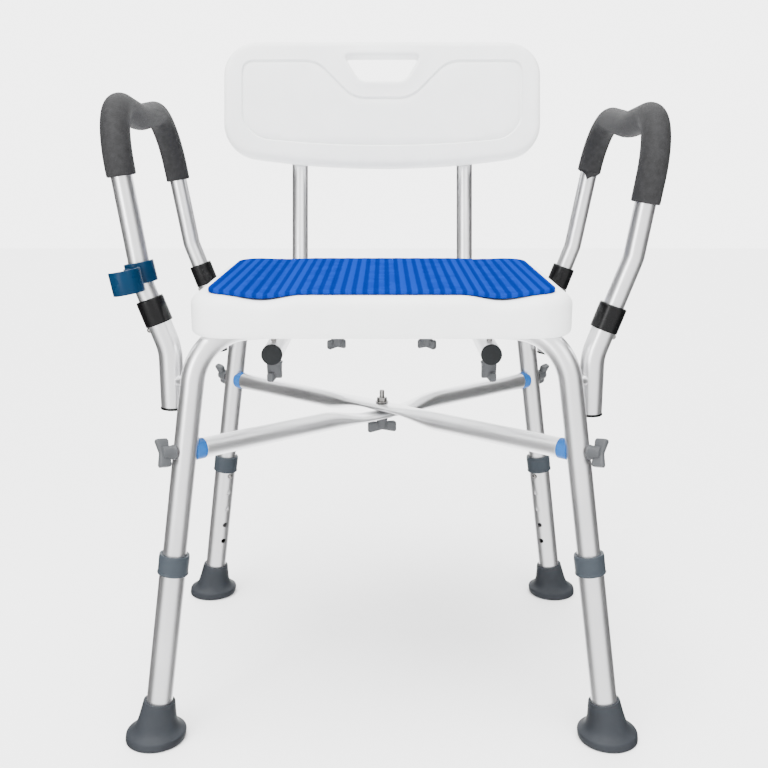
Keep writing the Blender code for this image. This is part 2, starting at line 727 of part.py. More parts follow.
def make_seat():
    low, high = SEAT_Z
    sections = ((0.006, low), (0.0, low + 0.008), (0.0, high - 0.012), (0.003, high - 0.004), (0.011, high))
    body = skin([[Vector((x, y, z)) for x, y in seat_outline(inset)] for inset, z in sections])
    over = 0.01
    for side in (0, 1):
        ends = []
        for depth in (TROUGH_DEPTH, TROUGH_REAR_DEPTH):
            arc = trough_profile(0.0, depth)[side * 7 : side * 7 + 7]
            ends.append(arc + [(arc[-1][0], SEAT_Z[1] + over), (arc[0][0], SEAT_Z[1] + over)])
        body = boolean(body, along_seat(*ends, SEAT_Y))
    body = boolean(body, prism(seat_outline(RIM), SEAT_Z[0] - over, SEAT_UNDER_Z))
    body = boolean(body, rail_cutters())
    hollow = prism(seat_outline(0.0055), SEAT_UNDER_Z + SKIN, SEAT_Z[1] - TROUGH_DEPTH - SKIN)
    hollow = boolean(hollow, rail_bolt_rods(0.010, SEAT_UNDER_Z - over, SEAT_Z[1], 8))
    body = boolean(body, hollow)
    drain = rod(Vector((0.0, 0.0, low)), Vector((0.0, 0.0, SEAT_UNDER_Z + 2 * SKIN)), 0.003, 6)
    body = boolean(body, drain)
    body = boolean(body, rail_bolt_rods(HOLE_R, SEAT_UNDER_Z - over, RAIL_Z + 0.0265, 6))
    finish("seat_shell", tilt_top(body), WHITE)


def make_mat():
    """The mat lies on the seat's top, so its blank runs over the seat's whole length."""
    ends = []
    for depth in (TROUGH_DEPTH, TROUGH_REAR_DEPTH):
        low = [(-MAT_HALF_X, SEAT_Z[1] + MAT_GAP), *trough_profile(MAT_GAP, depth)]
        low.append((MAT_HALF_X, SEAT_Z[1] + MAT_GAP))
        ends.append(low + [(x, z + MAT_THICK) for x, z in low[::-1]])
    trim = 0.0001
    y_range = (MAT_Y[0] + trim, MAT_Y[1] - trim)
    plan = prism(rounded_rectangle(MAT_HALF_X - trim, y_range, MAT_CORNER_R), SEAT_Z[0], SEAT_Z[1] + 0.1)
    finish("seat_mat", tilt_top(boolean(along_seat(*ends, SEAT_Y), plan, "INTERSECT")), BLUE)


def panel_outline():
    """(x, v) points of the backrest: round corners, and a bottom edge that bows down."""
    bow = 0.013
    corner = 0.050
    points = []
    for step in range(7):
        x = -0.1680 + 0.0560 * step
        points.append((x, bow * (x / 0.170) ** 2))
    side = [(PANEL_HALF_X - corner, bow + 0.048, -0.44), (PANEL_HALF_X - 0.046, PANEL_HEIGHT - 0.046, 0.0)]
    for x, v, start in side:
        radius = PANEL_HALF_X - x
        for step in range(5):
            angle = math.pi * (start + (0.5 if start == 0.0 else 0.44) * step / 4)
            points.append((x + radius * math.cos(angle), v + radius * math.sin(angle)))
    left = [(-x, v) for x, v in points[:6:-1]]
    return points + left


def panel_frame():
    """Origin at the middle of the back face's lower edge; X across, Y up the panel, Z to the front."""
    axis_z = PANEL_LOW_Z - (SLIM_R + 0.0003) * PANEL_FRONT.z
    axis_y = RECLINE_Y + (axis_z - BACK_TUBE_Z) * math.tan(RECLINE)
    origin = Vector((0.0, axis_y, axis_z)) + PANEL_FRONT * (SLIM_R + 0.0003)
    frame = Matrix((Vector((1.0, 0.0, 0.0)), PANEL_UP, PANEL_FRONT)).transposed().to_4x4()
    frame.translation = origin
    return frame


def make_panel():
    outline = panel_outline()
    middle = PANEL_HEIGHT / 2
    rings = []
    for inset, depth in ((0.006, 0.0), (0.0, 0.006), (0.0, 0.020), (0.006, PANEL_THICK)):
        across = 1 - inset / PANEL_HALF_X
        upward = 1 - inset / middle
        rings.append([Vector((x * across, middle + (v - middle) * upward, depth)) for x, v in outline])
    body = skin(rings)
    half_top, half_low, low, high, trim = 0.0525, 0.0315, 0.1185, 0.1540, 0.007
    slot = [(-half_low + trim, low), (half_low - trim, low), (half_low + 0.003, low + trim)]
    slot += [(half_top - 0.001, high - trim), (half_top - trim, high)]
    slot += [(-x, v) for x, v in slot[:1:-1]]
    body = boolean(body, prism(slot, -0.01, PANEL_THICK + 0.01))
    cave = [(0.150, 0.019), (0.200, 0.055), (0.200, 0.110)]
    cave += [(-x, v) for x, v in cave[::-1]]
    body = boolean(body, prism(cave, SKIN, PANEL_THICK - SKIN))
    body = boolean(body, rod(Vector((0.0, 0.03, -0.01)), Vector((0.0, 0.03, 0.01)), 0.003, 6))
    bmesh.ops.transform(body, matrix=panel_frame(), verts=body.verts)
    finish("backrest_panel", body, WHITE)


def arc_band(centre, inner, outer, arc, steps, heights):
    """A round band of rectangular section, over part of a circle in XY."""
    start, end = arc
    low, high = (Vector((0.0, 0.0, height)) for height in heights)
    sections = []
    for step in range(steps + 1):
        angle = start + (end - start) * step / steps
        ray = Vector((math.cos(angle), math.sin(angle), 0.0))
        near, far = centre + ray * inner, centre + ray * outer
        sections.append([near + low, far + low, far + high, near + high])
    return skin(sections)


def make_clip():
    """Two open rings: a small one snapped round the arm tube and a cradle for a hand shower."""
    middle = Vector((0.0, 0.0, 0.0))
    hold_in = SLIM_R + CLIP_PLAY
    half = CLIP_HEIGHT / 2
    toward = math.atan2(CRADLE_Y, CRADLE_X)
    hold = arc_band(middle, hold_in, hold_in + CLIP_WALL, (toward - 2.5, toward + 2.5), 12, (-half, half))
    cradle = Vector((CRADLE_X, CRADLE_Y, -CRADLE_DROP))
    half = CRADLE_HEIGHT / 2
    opening = math.radians(150.0)
    arc = (opening + 0.75, opening + 5.53)
    cup = arc_band(cradle, CRADLE_R - CLIP_WALL, CRADLE_R, arc, 14, (-half, half))
    body = boolean(hold, cup, "UNION")
    left = Vector((-CLIP_X, -ARM_Y, CLIP_Z))
    axis = Vector((-math.sin(CLIP_LEAN), 0.0, math.cos(CLIP_LEAN)))
    bmesh.ops.transform(body, matrix=axes(left, axis, Vector((1.0, 0.0, 0.0))), verts=body.verts)
    finish("shower_clip", body, TEAL, left)


def main():
    clear_scene()
    make_leg_frame("front_leg_frame", -1)
    make_leg_frame("rear_leg_frame", 1)
    make_brace_tube("brace_tube_upper", -1, 1)
    make_brace_tube("brace_tube_lower", 1, -1)
    make_brace_fasteners()
    make_corner_pieces()
    for side, side_x in (("left", -1), ("right", 1)):
        make_arm_tube(f"arm_tube_{side}", side, side_x)
        make_arm_grip(f"arm_grip_{side}", side, side_x)
        make_back_tube(f"back_tube_{side}", side_x)
        make_back_tube_cap(f"back_tube_cap_{side}", side_x)
    make_rail_bolts()
    make_seat()
    make_mat()
    make_panel()
    make_clip()


main()
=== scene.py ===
import json
import math

import bmesh
import bpy
import numpy as np
from mathutils import Matrix, Vector
from mathutils.geometry import delaunay_2d_cdt


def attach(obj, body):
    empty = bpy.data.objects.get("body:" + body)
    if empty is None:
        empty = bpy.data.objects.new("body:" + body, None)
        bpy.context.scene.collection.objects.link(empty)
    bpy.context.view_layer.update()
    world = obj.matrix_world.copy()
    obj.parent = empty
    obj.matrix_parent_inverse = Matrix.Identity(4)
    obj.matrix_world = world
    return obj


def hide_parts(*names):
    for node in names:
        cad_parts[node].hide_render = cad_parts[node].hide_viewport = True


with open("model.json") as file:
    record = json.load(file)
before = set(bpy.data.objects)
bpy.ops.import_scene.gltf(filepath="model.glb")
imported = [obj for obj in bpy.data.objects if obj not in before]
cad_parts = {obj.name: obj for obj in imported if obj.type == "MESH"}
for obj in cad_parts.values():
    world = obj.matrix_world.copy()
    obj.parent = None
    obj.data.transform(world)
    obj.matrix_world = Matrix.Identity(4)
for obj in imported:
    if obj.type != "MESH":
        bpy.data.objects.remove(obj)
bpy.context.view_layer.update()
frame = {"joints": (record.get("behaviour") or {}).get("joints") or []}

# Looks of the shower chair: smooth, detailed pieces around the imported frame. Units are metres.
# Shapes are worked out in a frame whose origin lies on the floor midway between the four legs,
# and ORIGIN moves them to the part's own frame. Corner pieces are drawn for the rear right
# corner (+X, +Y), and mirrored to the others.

JOINTS = {joint["name"]: joint for joint in frame["joints"]}
CORNERS = [(end, side) for end in ("front", "rear") for side in ("left", "right")]
SIGN = {"left": -1, "right": 1, "front": -1, "rear": 1}
UP = Vector((0.0, 0.0, 1.0))
RIGHT = Vector((1.0, 0.0, 0.0))


def joint_point(name):
    return Vector(JOINTS[name]["pos_m"])


def joint_axis(name):
    return Vector(JOINTS[name]["axis"]).normalized()


# The frame's own places and directions
ORIGIN = sum((joint_point(f"leg_bolt_{end}_{side}_turn") for end, side in CORNERS), Vector()) / 4
ORIGIN.z = 0.0
LEG_POINT = joint_point("leg_bolt_rear_right_turn") - ORIGIN
LEG_UP = joint_axis("leg_rear_right_slide")
LEG_BOLT_OUT = joint_axis("leg_bolt_rear_right_turn")
BOLT_OUT = Vector((LEG_POINT.x, LEG_POINT.y, 0.0)).normalized()
BUTTON_IN = -joint_axis("leg_button_rear_right_press")
ARM_AXIS = joint_axis("arm_right_lift")
ARM_OUT = -joint_axis("arm_button_rear_right_press")
BRACE_Z = LEG_POINT.z

# Tube sizes, as outer radii
SLEEVE_R = 0.0143
FRAME_R = 0.0127
SLIM_R = 0.0111
WALL = 0.0012
GAP = 0.0004
SIDES = 40
ARC_STEP = 0.004
SOFT_EDGE = 0.0004

# Leg frames: rail, bends and the distances down the leg from the brace's height
RAIL_Z = 0.458
RAIL_BOW_Y = 0.115
RAIL_STRAIGHT_X = 0.066
RAIL_BOLT_X = 0.050
BEND_R = 0.060
LEG_END = 0.2062
SLEEVE_TOP = 0.1168
SLEEVE_END = 0.3208
COLLAR_TOP = 0.1152
COLLAR_END = 0.1374
BUTTON_DOWN = 0.1428
HOLE_PITCH = 0.0254
HOLE_COUNT = 5
HOLE_R = 0.0036
BOLT_R = 0.0030
WASHER_R = 0.0064

# Snap buttons: how far the flange's face and the tip stand out from the tube's axis
LEG_BUTTON = (0.0096, 0.0172)
ARM_BUTTON = (0.0080, 0.0156)

# Wing bolts: the shank's length, the hub's radius and length, the wing's half length and width
WING_BOLTS = {
    "leg": (0.039, 0.0082, 0.0150, 0.0150, 0.0150),
    "rail": (0.037, 0.0068, 0.0120, 0.0100, 0.0110),
    "back": (0.047, 0.0092, 0.0170, 0.0125, 0.0110),
    "brace": (0.036, 0.0070, 0.0120, 0.0175, 0.0140),
}

# Feet
FOOT_R = 0.0335
FOOT_TOP_Z = 0.0455

# Braces
BRACE_END = 0.2540
PRESSED_FROM = 0.022
PRESSED_TO = 0.090
PRESSED_HALF_WIDTH = 0.0146
PRESSED_HALF_HEIGHT = 0.0049
PRESSED_SHIFT = 0.0051
CROSSING_HALF = 0.0104
PLUG_IN_R = 0.0090
PLUG_R = 0.0114
PLUG_END = 0.2662

# Seat and mat
SEAT_HALF_X = 0.202
SEAT_Y = (-0.191, 0.134)
SEAT_Z = (0.4526, 0.4960)
SEAT_CORNER_R = 0.042
SEAT_UNDER_Z = 0.4712
SEAT_RISE = 0.006
SEAT_TOP_ROUND = 0.012
SEAT_LOW_ROUND = 0.007
RIM = 0.015
TROUGH_X = 0.125
TROUGH_HALF = 0.044
TROUGH_DEPTH = 0.006
TROUGH_REAR_DEPTH = 0.0012
MAT_HALF_X = 0.1845
MAT_Y = (-0.173, 0.116)
MAT_CORNER_R = 0.030
MAT_THICK = 0.0045
MAT_GAP = 0.0009
RIB_PITCH = 0.0115
DASH_PITCH = 0.0062

# Backrest
BACK_X = 0.1165
BACK_TUBE_Z = 0.4315
BACK_TUBE_FRONT_Y = -0.160
BACK_TUBE_TOP_Z = 0.764
RECLINE = math.radians(12.7)
RECLINE_Y = 0.2080
PANEL_HALF_X = 0.2200
PANEL_HEIGHT = 0.174
PANEL_THICK = 0.026
PANEL_LOW_Z = 0.6185
PANEL_BOW = 0.013
PANEL_SCREW_Z = (0.655, 0.735)
INSERT_R = 0.0095
PANEL_UP = Vector((0.0, math.sin(RECLINE), math.cos(RECLINE)))
PANEL_FRONT = Vector((0.0, -math.cos(RECLINE), math.sin(RECLINE)))

# Arms
SOCKET_X = {"front": 0.2245, "rear": 0.2275}
ARM_Y = 0.158
SOCKET_HEIGHT = 0.117
SPACER_Z = 0.404
SPACER_R = 0.0060
CAP_R = 0.0133
COLLAR_X = {"front": 0.2443, "rear": 0.2473}
COLLAR_Z = {"front_left": 0.4910, "front_right": 0.4840, "rear_left": 0.4945, "rear_right": 0.4910}
COLLAR_LENGTH = 0.028
SOCKET_TOP_DOWN = 0.0045
ARM_DEPTH = 0.040
ARM_BUTTON_DOWN = 0.0314
ARM_TURN_Z = {"front_left": 0.5060, "front_right": 0.5340, "rear_left": 0.5225, "rear_right": 0.5190}
ARM_TOP_X = {"front_left": 0.2775, "front_right": 0.2868, "rear_left": 0.2872, "rear_right": 0.2885}
ARM_TOP_Z = {"front_left": 0.6935, "front_right": 0.6830, "rear_left": 0.6950, "rear_right": 0.6885}
ARM_DIP = 0.0135
ARM_TURN_R = 0.040
ARM_BEND_R = 0.065
ARM_DIP_R = 0.300
GRIP_R = 0.0153
GRIP_LOW_Z = {"front_left": 0.617, "front_right": 0.5895, "rear_left": 0.606, "rear_right": 0.618}

# Hand shower clip
CLIP_PLAY = 0.0014
CLIP_HEIGHT = 0.022
CLIP_WALL = 0.003
HOLD_HALF_ARC = 2.5
CRADLE_HEIGHT = 0.0245
CRADLE_DROP = 0.005
CRADLE_R = 0.0165
CRADLE_X = -0.0094
CRADLE_Y = -0.0280
CRADLE_OPENING = math.radians(150.0)

# Camera: level with the arms, looking down a little, at the height and distance of the picture
CAMERA_AT = Vector((0.0025, -1.2033, 0.635))
CAMERA_DOWN = math.radians(12.735)
CAMERA_LENS = 46.875
SENSOR = 36.0

# Room light, and its two dim patches: their direction from the side to the back, and half width
FRONT_LIGHT = 2.3
BACK_LIGHT = 4.8
CEILING_LIGHT = 7.2
FLAG_SHARE = 0.02
FLAG_TURN = math.radians(16.0)
FLAG_WIDTH = math.radians(58.0)


# ---- geometry helpers ----


def square_to(direction, axis):
    return (direction - direction.dot(axis) * axis).normalized()


def axes(origin, along, hint):
    """A frame at origin with Z along one direction and X as close as possible to another."""
    z = along.normalized()
    x = square_to(hint, z)
    turn = Matrix((x, z.cross(x), z)).transposed().to_4x4()
    turn.translation = origin
    return turn


def rounded_path(corners, radii):
    """A polyline through the corners, each inner corner turned into an arc of short steps."""
    path = [corners[0]]
    for index, radius in enumerate(radii):
        before, corner, after = corners[index : index + 3]
        back = (before - corner).normalized()
        ahead = (after - corner).normalized()
        turn = math.pi - back.angle(ahead)
        start = corner + back * radius * math.tan(turn / 2)
        centre = corner + (back + ahead).normalized() * radius / math.cos(turn / 2)
        spin_axis = ahead.cross(back)
        steps = max(3, round(turn * radius / ARC_STEP))
        for step in range(steps + 1):
            spin = Matrix.Rotation(turn * step / steps, 3, spin_axis)
            path.append(centre + spin @ (start - centre))
    path.append(corners[-1])
    return path


def along_path(path, hint):
    """A frame at each point of a path, carried along it without twisting."""
    frames = []
    for index, point in enumerate(path):
        ahead = path[min(index + 1, len(path) - 1)] - point
        behind = point - path[max(index - 1, 0)]
        frames.append(axes(point, ahead.normalized() + behind.normalized(), hint))
        hint = frames[-1].to_3x3().col[0]
    return frames


def skin(rings, closed=False, caps=True):
    """A body over a row of rings, with a UV map that runs round and along in metres."""
    bm = bmesh.new()
    uv = bm.loops.layers.uv.new("UVMap")
    rows = [[bm.verts.new(point) for point in points] for points in rings]
    count = len(rings[0])
    lengths = [0.0]
    for low, high in zip(rings, rings[1:]):
        lengths.append(lengths[-1] + (high[0] - low[0]).length)
    around = sum((rings[0][i] - rings[0][i - 1]).length for i in range(count)) / count
    pairs = list(zip(range(len(rows)), range(1, len(rows))))
    if closed:
        pairs.append((len(rows) - 1, 0))
    elif caps:
        bm.faces.new(rows[0][::-1])
        bm.faces.new(rows[-1])
    for low, high in pairs:
        for side in range(count):
            after = (side + 1) % count
            face = bm.faces.new((rows[low][side], rows[low][after], rows[high][after], rows[high][side]))
            u = (side * around, (side + 1) * around)
            v = (lengths[low], lengths[high] if high else lengths[-1])
            for loop, spot in zip(face.loops, ((u[0], v[0]), (u[1], v[0]), (u[1], v[1]), (u[0], v[1]))):
                loop[uv].uv = spot
    bmesh.ops.recalc_face_normals(bm, faces=bm.faces)
    return bm


def ring(turn, radius, height=0.0, half_height=None, shift=0.0, sides=SIDES):
    across = radius if half_height is None else half_height
    points = []
    for side in range(sides):
        angle = 2 * math.pi * side / sides
        local = Vector((across * math.cos(angle) + shift, radius * math.sin(angle), height))
        points.append(turn @ local)
    return points


def filleted(profile, radius, closed=True, steps=4):
    """A 2D outline with its corners rounded."""
    points = [Vector(point) for point in profile]
    count = len(points)
    result = []
    for index, point in enumerate(points):
        if not closed and index in (0, count - 1):
            result.append(point)
            continue
        back = points[index - 1] - point
        ahead = points[(index + 1) % count] - point
        cut = min(radius, back.length * 0.45, ahead.length * 0.45)
        start, end = point + back.normalized() * cut, point + ahead.normalized() * cut
        for step in range(steps + 1):
            share = step / steps
            result.append(start.lerp(point, share).lerp(point.lerp(end, share), share))
    return result


def lathe(turn, profile, closed=False, soften=SOFT_EDGE, sides=SIDES):
    """A turned body with softened edges: the profile is a list of (radius, height)."""
    points = filleted(profile, soften, closed) if soften else [Vector(p) for p in profile]
    return skin([ring(turn, p[0], p[1], sides=sides) for p in points], closed)


def tube(path, radius, hint, inner=None, sides=SIDES):
    """A round tube along a path with softened rims: hollow, or solid with no inner radius."""
    first = (path[1] - path[0]).normalized() * SOFT_EDGE
    last = (path[-1] - path[-2]).normalized() * SOFT_EDGE
    frames = along_path([path[0], path[0] + first, *path[1:-1], path[-1] - last, path[-1]], hint)
    radii = [radius - SOFT_EDGE] + [radius] * (len(frames) - 2) + [radius - SOFT_EDGE]
    outside = [ring(turn, r, sides=sides) for turn, r in zip(frames, radii)]
    if inner is None:
        return skin(outside)
    inside = [ring(turn, inner, sides=sides) for turn in frames]
    return skin(outside + inside[::-1], closed=True)


def rod(start, end, radius, sides=24):
    turn = axes(start, end - start, Vector((0.3, 1.0, 0.2)))
    return skin([ring(turn, radius, h, sides=sides) for h in (0.0, (end - start).length)])


def joined(*bodies):
    whole = bmesh.new()
    for body in bodies:
        mesh = bpy.data.meshes.new("part")
        body.to_mesh(mesh)
        body.free()
        whole.from_mesh(mesh)
        bpy.data.meshes.remove(mesh)
    return whole


def boolean(body, tool, operation="DIFFERENCE"):
    """Both bodies are used up, and the result is a new one."""
    pair = []
    for bm in (body, tool):
        mesh = bpy.data.meshes.new("scratch")
        bm.to_mesh(mesh)
        bm.free()
        pair.append(bpy.data.objects.new("scratch", mesh))
        bpy.context.scene.collection.objects.link(pair[-1])
    modifier = pair[0].modifiers.new("combine", "BOOLEAN")
    modifier.operation = operation
    modifier.solver = "EXACT"
    modifier.object = pair[1]
    result = bmesh.new()
    result.from_object(pair[0], bpy.context.evaluated_depsgraph_get())
    for obj in pair:
        bpy.data.meshes.remove(obj.data, do_unlink=True)
    return result


def mirrored(bm, side_x, side_y):
    bmesh.ops.scale(bm, vec=(side_x, side_y, 1.0), verts=bm.verts)
    if side_x * side_y < 0:
        bmesh.ops.reverse_faces(bm, faces=bm.faces)
    return bm


def moved(bm, turn):
    bmesh.ops.transform(bm, matrix=turn, verts=bm.verts)
    return bm


def piece(name, bm, look, body, *nodes, like=None, sharp=35.0):
    """Make a piece of the chair, riding on a body, in place of CAD nodes if any are given."""
    mesh = bpy.data.meshes.new(name)
    bm.to_mesh(mesh)
    bm.free()
    mesh.transform(Matrix.Translation(ORIGIN))
    mesh.shade_smooth()
    mesh.set_sharp_from_angle(angle=math.radians(sharp))
    mesh.materials.append(look)
    obj = bpy.data.objects.new(name, mesh)
    bpy.context.scene.collection.objects.link(obj)
    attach(obj, body)
    if nodes:
        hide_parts(*nodes)
    return obj


def corner_piece(label, corner, bm, look, body, node=None, like=None):
    """A piece drawn for the rear right corner, mirrored to its own corner and named after it."""
    end, side = corner.split("_")
    nodes = [f"{node}_{corner}"] if node else []
    mirrored(bm, SIGN[side], SIGN[end])
    piece(f"{label}_{corner}", bm, look, body, *nodes, like=like)


# ---- materials ----


def new_look(name, colour, roughness, metallic=0.0, specular=0.5):
    look = bpy.data.materials.new(name)
    look.use_nodes = True
    shader = look.node_tree.nodes["Principled BSDF"]
    shader.inputs["Base Color"].default_value = (*colour, 1.0)
    shader.inputs["Roughness"].default_value = roughness
    shader.inputs["Metallic"].default_value = metallic
    shader.inputs["Specular IOR Level"].default_value = specular
    return look, shader


def place(look, scale, coords="Object"):
    """Texture coordinates in metres, scaled by a number or by a vector."""
    nodes, links = look.node_tree.nodes, look.node_tree.links
    source = nodes.new("ShaderNodeTexCoord")
    mapping = nodes.new("ShaderNodeMapping")
    factor = scale if isinstance(scale, tuple) else (scale, scale, scale)
    mapping.inputs["Scale"].default_value = factor
    links.new(source.outputs[coords], mapping.inputs["Vector"])
    return mapping.outputs["Vector"]


def noise(look, scale, detail=3.0, coords="Object"):
    node = look.node_tree.nodes.new("ShaderNodeTexNoise")
    node.inputs["Scale"].default_value = 1.0
    node.inputs["Detail"].default_value = detail
    look.node_tree.links.new(place(look, scale, coords), node.inputs["Vector"])
    return node.outputs["Fac"]


def cells(look, scale):
    node = look.node_tree.nodes.new("ShaderNodeTexVoronoi")
    node.inputs["Scale"].default_value = 1.0
    look.node_tree.links.new(place(look, scale), node.inputs["Vector"])
    return node.outputs["Distance"]


def remap(look, value, low, high, start=0.3, end=0.7):
    node = look.node_tree.nodes.new("ShaderNodeMapRange")
    node.inputs["From Min"].default_value = start
    node.inputs["From Max"].default_value = end
    node.inputs["To Min"].default_value = low
    node.inputs["To Max"].default_value = high
    look.node_tree.links.new(value, node.inputs["Value"])
    return node.outputs["Result"]


def roughen(look, shader, value, low, high):
    """Roughness that runs from low to high with a value."""
    look.node_tree.links.new(remap(look, value, low, high), shader.inputs["Roughness"])


def math_node(look, operation, first, second):
    node = look.node_tree.nodes.new("ShaderNodeMath")
    node.operation = operation
    for socket, value in zip(node.inputs, (first, second)):
        if isinstance(value, float):
            socket.default_value = value
        else:
            look.node_tree.links.new(value, socket)
    return node.outputs["Value"]


def tint(look, shader, value, dark, light):
    """Base colour that runs from dark to light with a value."""
    ramp = look.node_tree.nodes.new("ShaderNodeValToRGB")
    ramp.color_ramp.elements[0].position = 0.3
    ramp.color_ramp.elements[1].position = 0.7
    ramp.color_ramp.elements[0].color = (*dark, 1.0)
    ramp.color_ramp.elements[1].color = (*light, 1.0)
    look.node_tree.links.new(value, ramp.inputs["Fac"])
    look.node_tree.links.new(ramp.outputs["Color"], shader.inputs["Base Color"])


def bump(look, shader, height, depth, strength=1.0):
    """Relief of a given depth in metres, on top of any relief already there."""
    nodes, links = look.node_tree.nodes, look.node_tree.links
    node = nodes.new("ShaderNodeBump")
    node.inputs["Strength"].default_value = strength
    node.inputs["Distance"].default_value = depth
    links.new(height, node.inputs["Height"])
    if shader.inputs["Normal"].is_linked:
        links.new(shader.inputs["Normal"].links[0].from_socket, node.inputs["Normal"])
    links.new(node.outputs["Normal"], shader.inputs["Normal"])


def make_aluminium():
    """Satin anodised tube: fine drawing lines along it and faint clouding."""
    look, shader = new_look("satin_aluminium", (0.80, 0.80, 0.81), 0.30, metallic=0.95)
    drawn = noise(look, (2600.0, 18.0, 1.0), 4.0, "UV")
    cloud = noise(look, 14.0)
    tint(look, shader, cloud, (0.76, 0.76, 0.77), (0.83, 0.83, 0.84))
    streaks = math_node(look, "MULTIPLY", drawn, 0.6)
    grain = math_node(look, "ADD", streaks, math_node(look, "MULTIPLY", cloud, 0.4))
    roughen(look, shader, grain, 0.29, 0.36)
    bump(look, shader, drawn, 0.00002, 0.3)
    return look


def make_moulded(name, dark, light, roughness, pebble=0.0, pebble_scale=900.0, specular=0.5):
    """Moulded plastic or rubber: soft clouding, fine grain, and patches of lower gloss."""
    look, shader = new_look(name, light, roughness, specular=specular)
    tint(look, shader, noise(look, 22.0), dark, light)
    roughen(look, shader, noise(look, 60.0, 4.0), roughness - 0.06, roughness + 0.08)
    bump(look, shader, noise(look, 40.0, 2.0), 0.00012, 0.5)
    if pebble:
        bump(look, shader, cells(look, pebble_scale), pebble, 0.6)
    return look


def make_foam():
    """Closed-cell foam: open pores in two sizes under a dull skin."""
    look, shader = new_look("grip_foam", (0.015, 0.015, 0.016), 0.66, specular=0.08)
    tint(look, shader, noise(look, 160.0, 5.0), (0.018, 0.018, 0.0185), (0.025, 0.025, 0.026))
    bump(look, shader, cells(look, 700.0), 0.00035, 0.7)
    bump(look, shader, noise(look, 1900.0, 2.0), 0.0002, 0.5)
    return look


def stripes(look, axis, origin, pitch):
    """|cos| across an axis of the object, one at each rib and zero in each groove."""
    split = look.node_tree.nodes.new("ShaderNodeSeparateXYZ")
    look.node_tree.links.new(place(look, 1.0), split.inputs["Vector"])
    offset = math_node(look, "SUBTRACT", split.outputs[axis], origin)
    turns = math_node(look, "MULTIPLY", offset, math.pi / pitch)
    return math_node(look, "ABSOLUTE", math_node(look, "COSINE", turns, 0.0), 0.0)


def make_mat_rubber():
    """Blue rubber: painted shade in the grooves between the ribs, and patches of fine cross dashes."""
    look, shader = new_look("mat_rubber", (0.004, 0.026, 0.22), 0.46, specular=0.0)
    ribs = stripes(look, "X", ORIGIN.x, RIB_PITCH)
    columns = remap(look, stripes(look, "X", ORIGIN.x, 0.066), 0.0, 1.0, 0.55, 0.70)
    patches = remap(look, noise(look, 34.0, 1.0), 0.0, 1.0, 0.44, 0.50)
    rows = remap(look, stripes(look, "Y", 0.0, DASH_PITCH), 1.0, 0.0, 0.25, 0.60)
    dashes = math_node(look, "MULTIPLY", rows, math_node(look, "MULTIPLY", columns, patches))
    # Painted shade: the colour runs darker from each rib's crest down into the grooves beside it.
    painted_groove_shade = math_node(look, "MULTIPLY", remap(look, ribs, 0.0, 1.0, 0.35, 0.90), 0.75)
    shade = math_node(look, "SUBTRACT", painted_groove_shade, math_node(look, "MULTIPLY", dashes, 0.45))
    shade = math_node(look, "ADD", shade, math_node(look, "MULTIPLY", noise(look, 30.0), 0.25))
    tint(look, shader, shade, (0.0014, 0.0125, 0.130), (0.0034, 0.0250, 0.225))
    bump(look, shader, ribs, 0.0010, 0.5)
    bump(look, shader, dashes, -0.0008, 0.8)
    bump(look, shader, cells(look, 420.0), 0.00020, 0.5)
    return look


ALUMINIUM = make_aluminium()
WHITE = make_moulded(
    "white_plastic", (0.86, 0.87, 0.865), (0.90, 0.91, 0.905), 0.45, 0.00010, specular=0.35
)
MAT_BLUE = make_mat_rubber()
FOAM = make_foam()
BLACK = make_moulded(
    "black_plastic", (0.003, 0.003, 0.0032), (0.0045, 0.0045, 0.005), 0.22, specular=0.16
)
DARK_CAP = make_moulded(
    "dark_cap", (0.009, 0.010, 0.011), (0.012, 0.013, 0.014), 0.5, 0.0001, 1400.0, 0.12
)
GREY = make_moulded(
    "grey_plastic", (0.025, 0.031, 0.038), (0.032, 0.039, 0.047), 0.42, specular=0.12
)
RUBBER = make_moulded(
    "foot_rubber", (0.017, 0.019, 0.0225), (0.024, 0.027, 0.0315), 0.55, 0.0001, 1100.0, 0.12
)
KNOB_GREY = make_moulded(
    "knob_plastic", (0.050, 0.052, 0.056), (0.066, 0.069, 0.073), 0.45, 0.0001, 1300.0, 0.18
)
PLUG_BLUE = make_moulded(
    "plug_plastic", (0.009, 0.070, 0.24), (0.015, 0.095, 0.31), 0.32, specular=0.12
)
TEAL = make_moulded(
    "clip_plastic", (0.0004, 0.013, 0.036), (0.0007, 0.018, 0.048), 0.26, specular=0.10
)


def make_steel():
    """Plated steel: turned lines, slight staining and worn gloss."""
    look, shader = new_look("plated_steel", (0.30, 0.29, 0.28), 0.3, metallic=1.0)
    stain = noise(look, 120.0, 5.0)
    tint(look, shader, stain, (0.16, 0.155, 0.15), (0.34, 0.33, 0.32))
    roughen(look, shader, stain, 0.22, 0.45)
    bump(look, shader, noise(look, (60.0, 3000.0, 1.0), 3.0, "UV"), 0.00003, 0.6)
    return look


STEEL = make_steel()


# ---- leg frames, sleeves, collars, feet ----


def down_leg(distance):
    return LEG_POINT - LEG_UP * distance


def leg_at_height(z):
    return down_leg((BRACE_Z - z) / LEG_UP.z)


LEG_FRAME = axes(LEG_POINT, -LEG_UP, UP)


def frame_path():
    """The leg frame at the rear, from the left leg's end over the rail to the right leg's."""
    half = [Vector((RAIL_STRAIGHT_X, RAIL_BOW_Y, RAIL_Z)), leg_at_height(RAIL_Z), down_leg(LEG_END)]
    corners = [Vector((-point.x, point.y, point.z)) for point in half[::-1]] + half
    return rounded_path(corners, [BEND_R] * 4)


FRAME_PATH = frame_path()


def rail_y(x):
    corner = leg_at_height(RAIL_Z)
    slope = (corner.y - RAIL_BOW_Y) / (corner.x - RAIL_STRAIGHT_X)
    return RAIL_BOW_Y + (x - RAIL_STRAIGHT_X) * slope


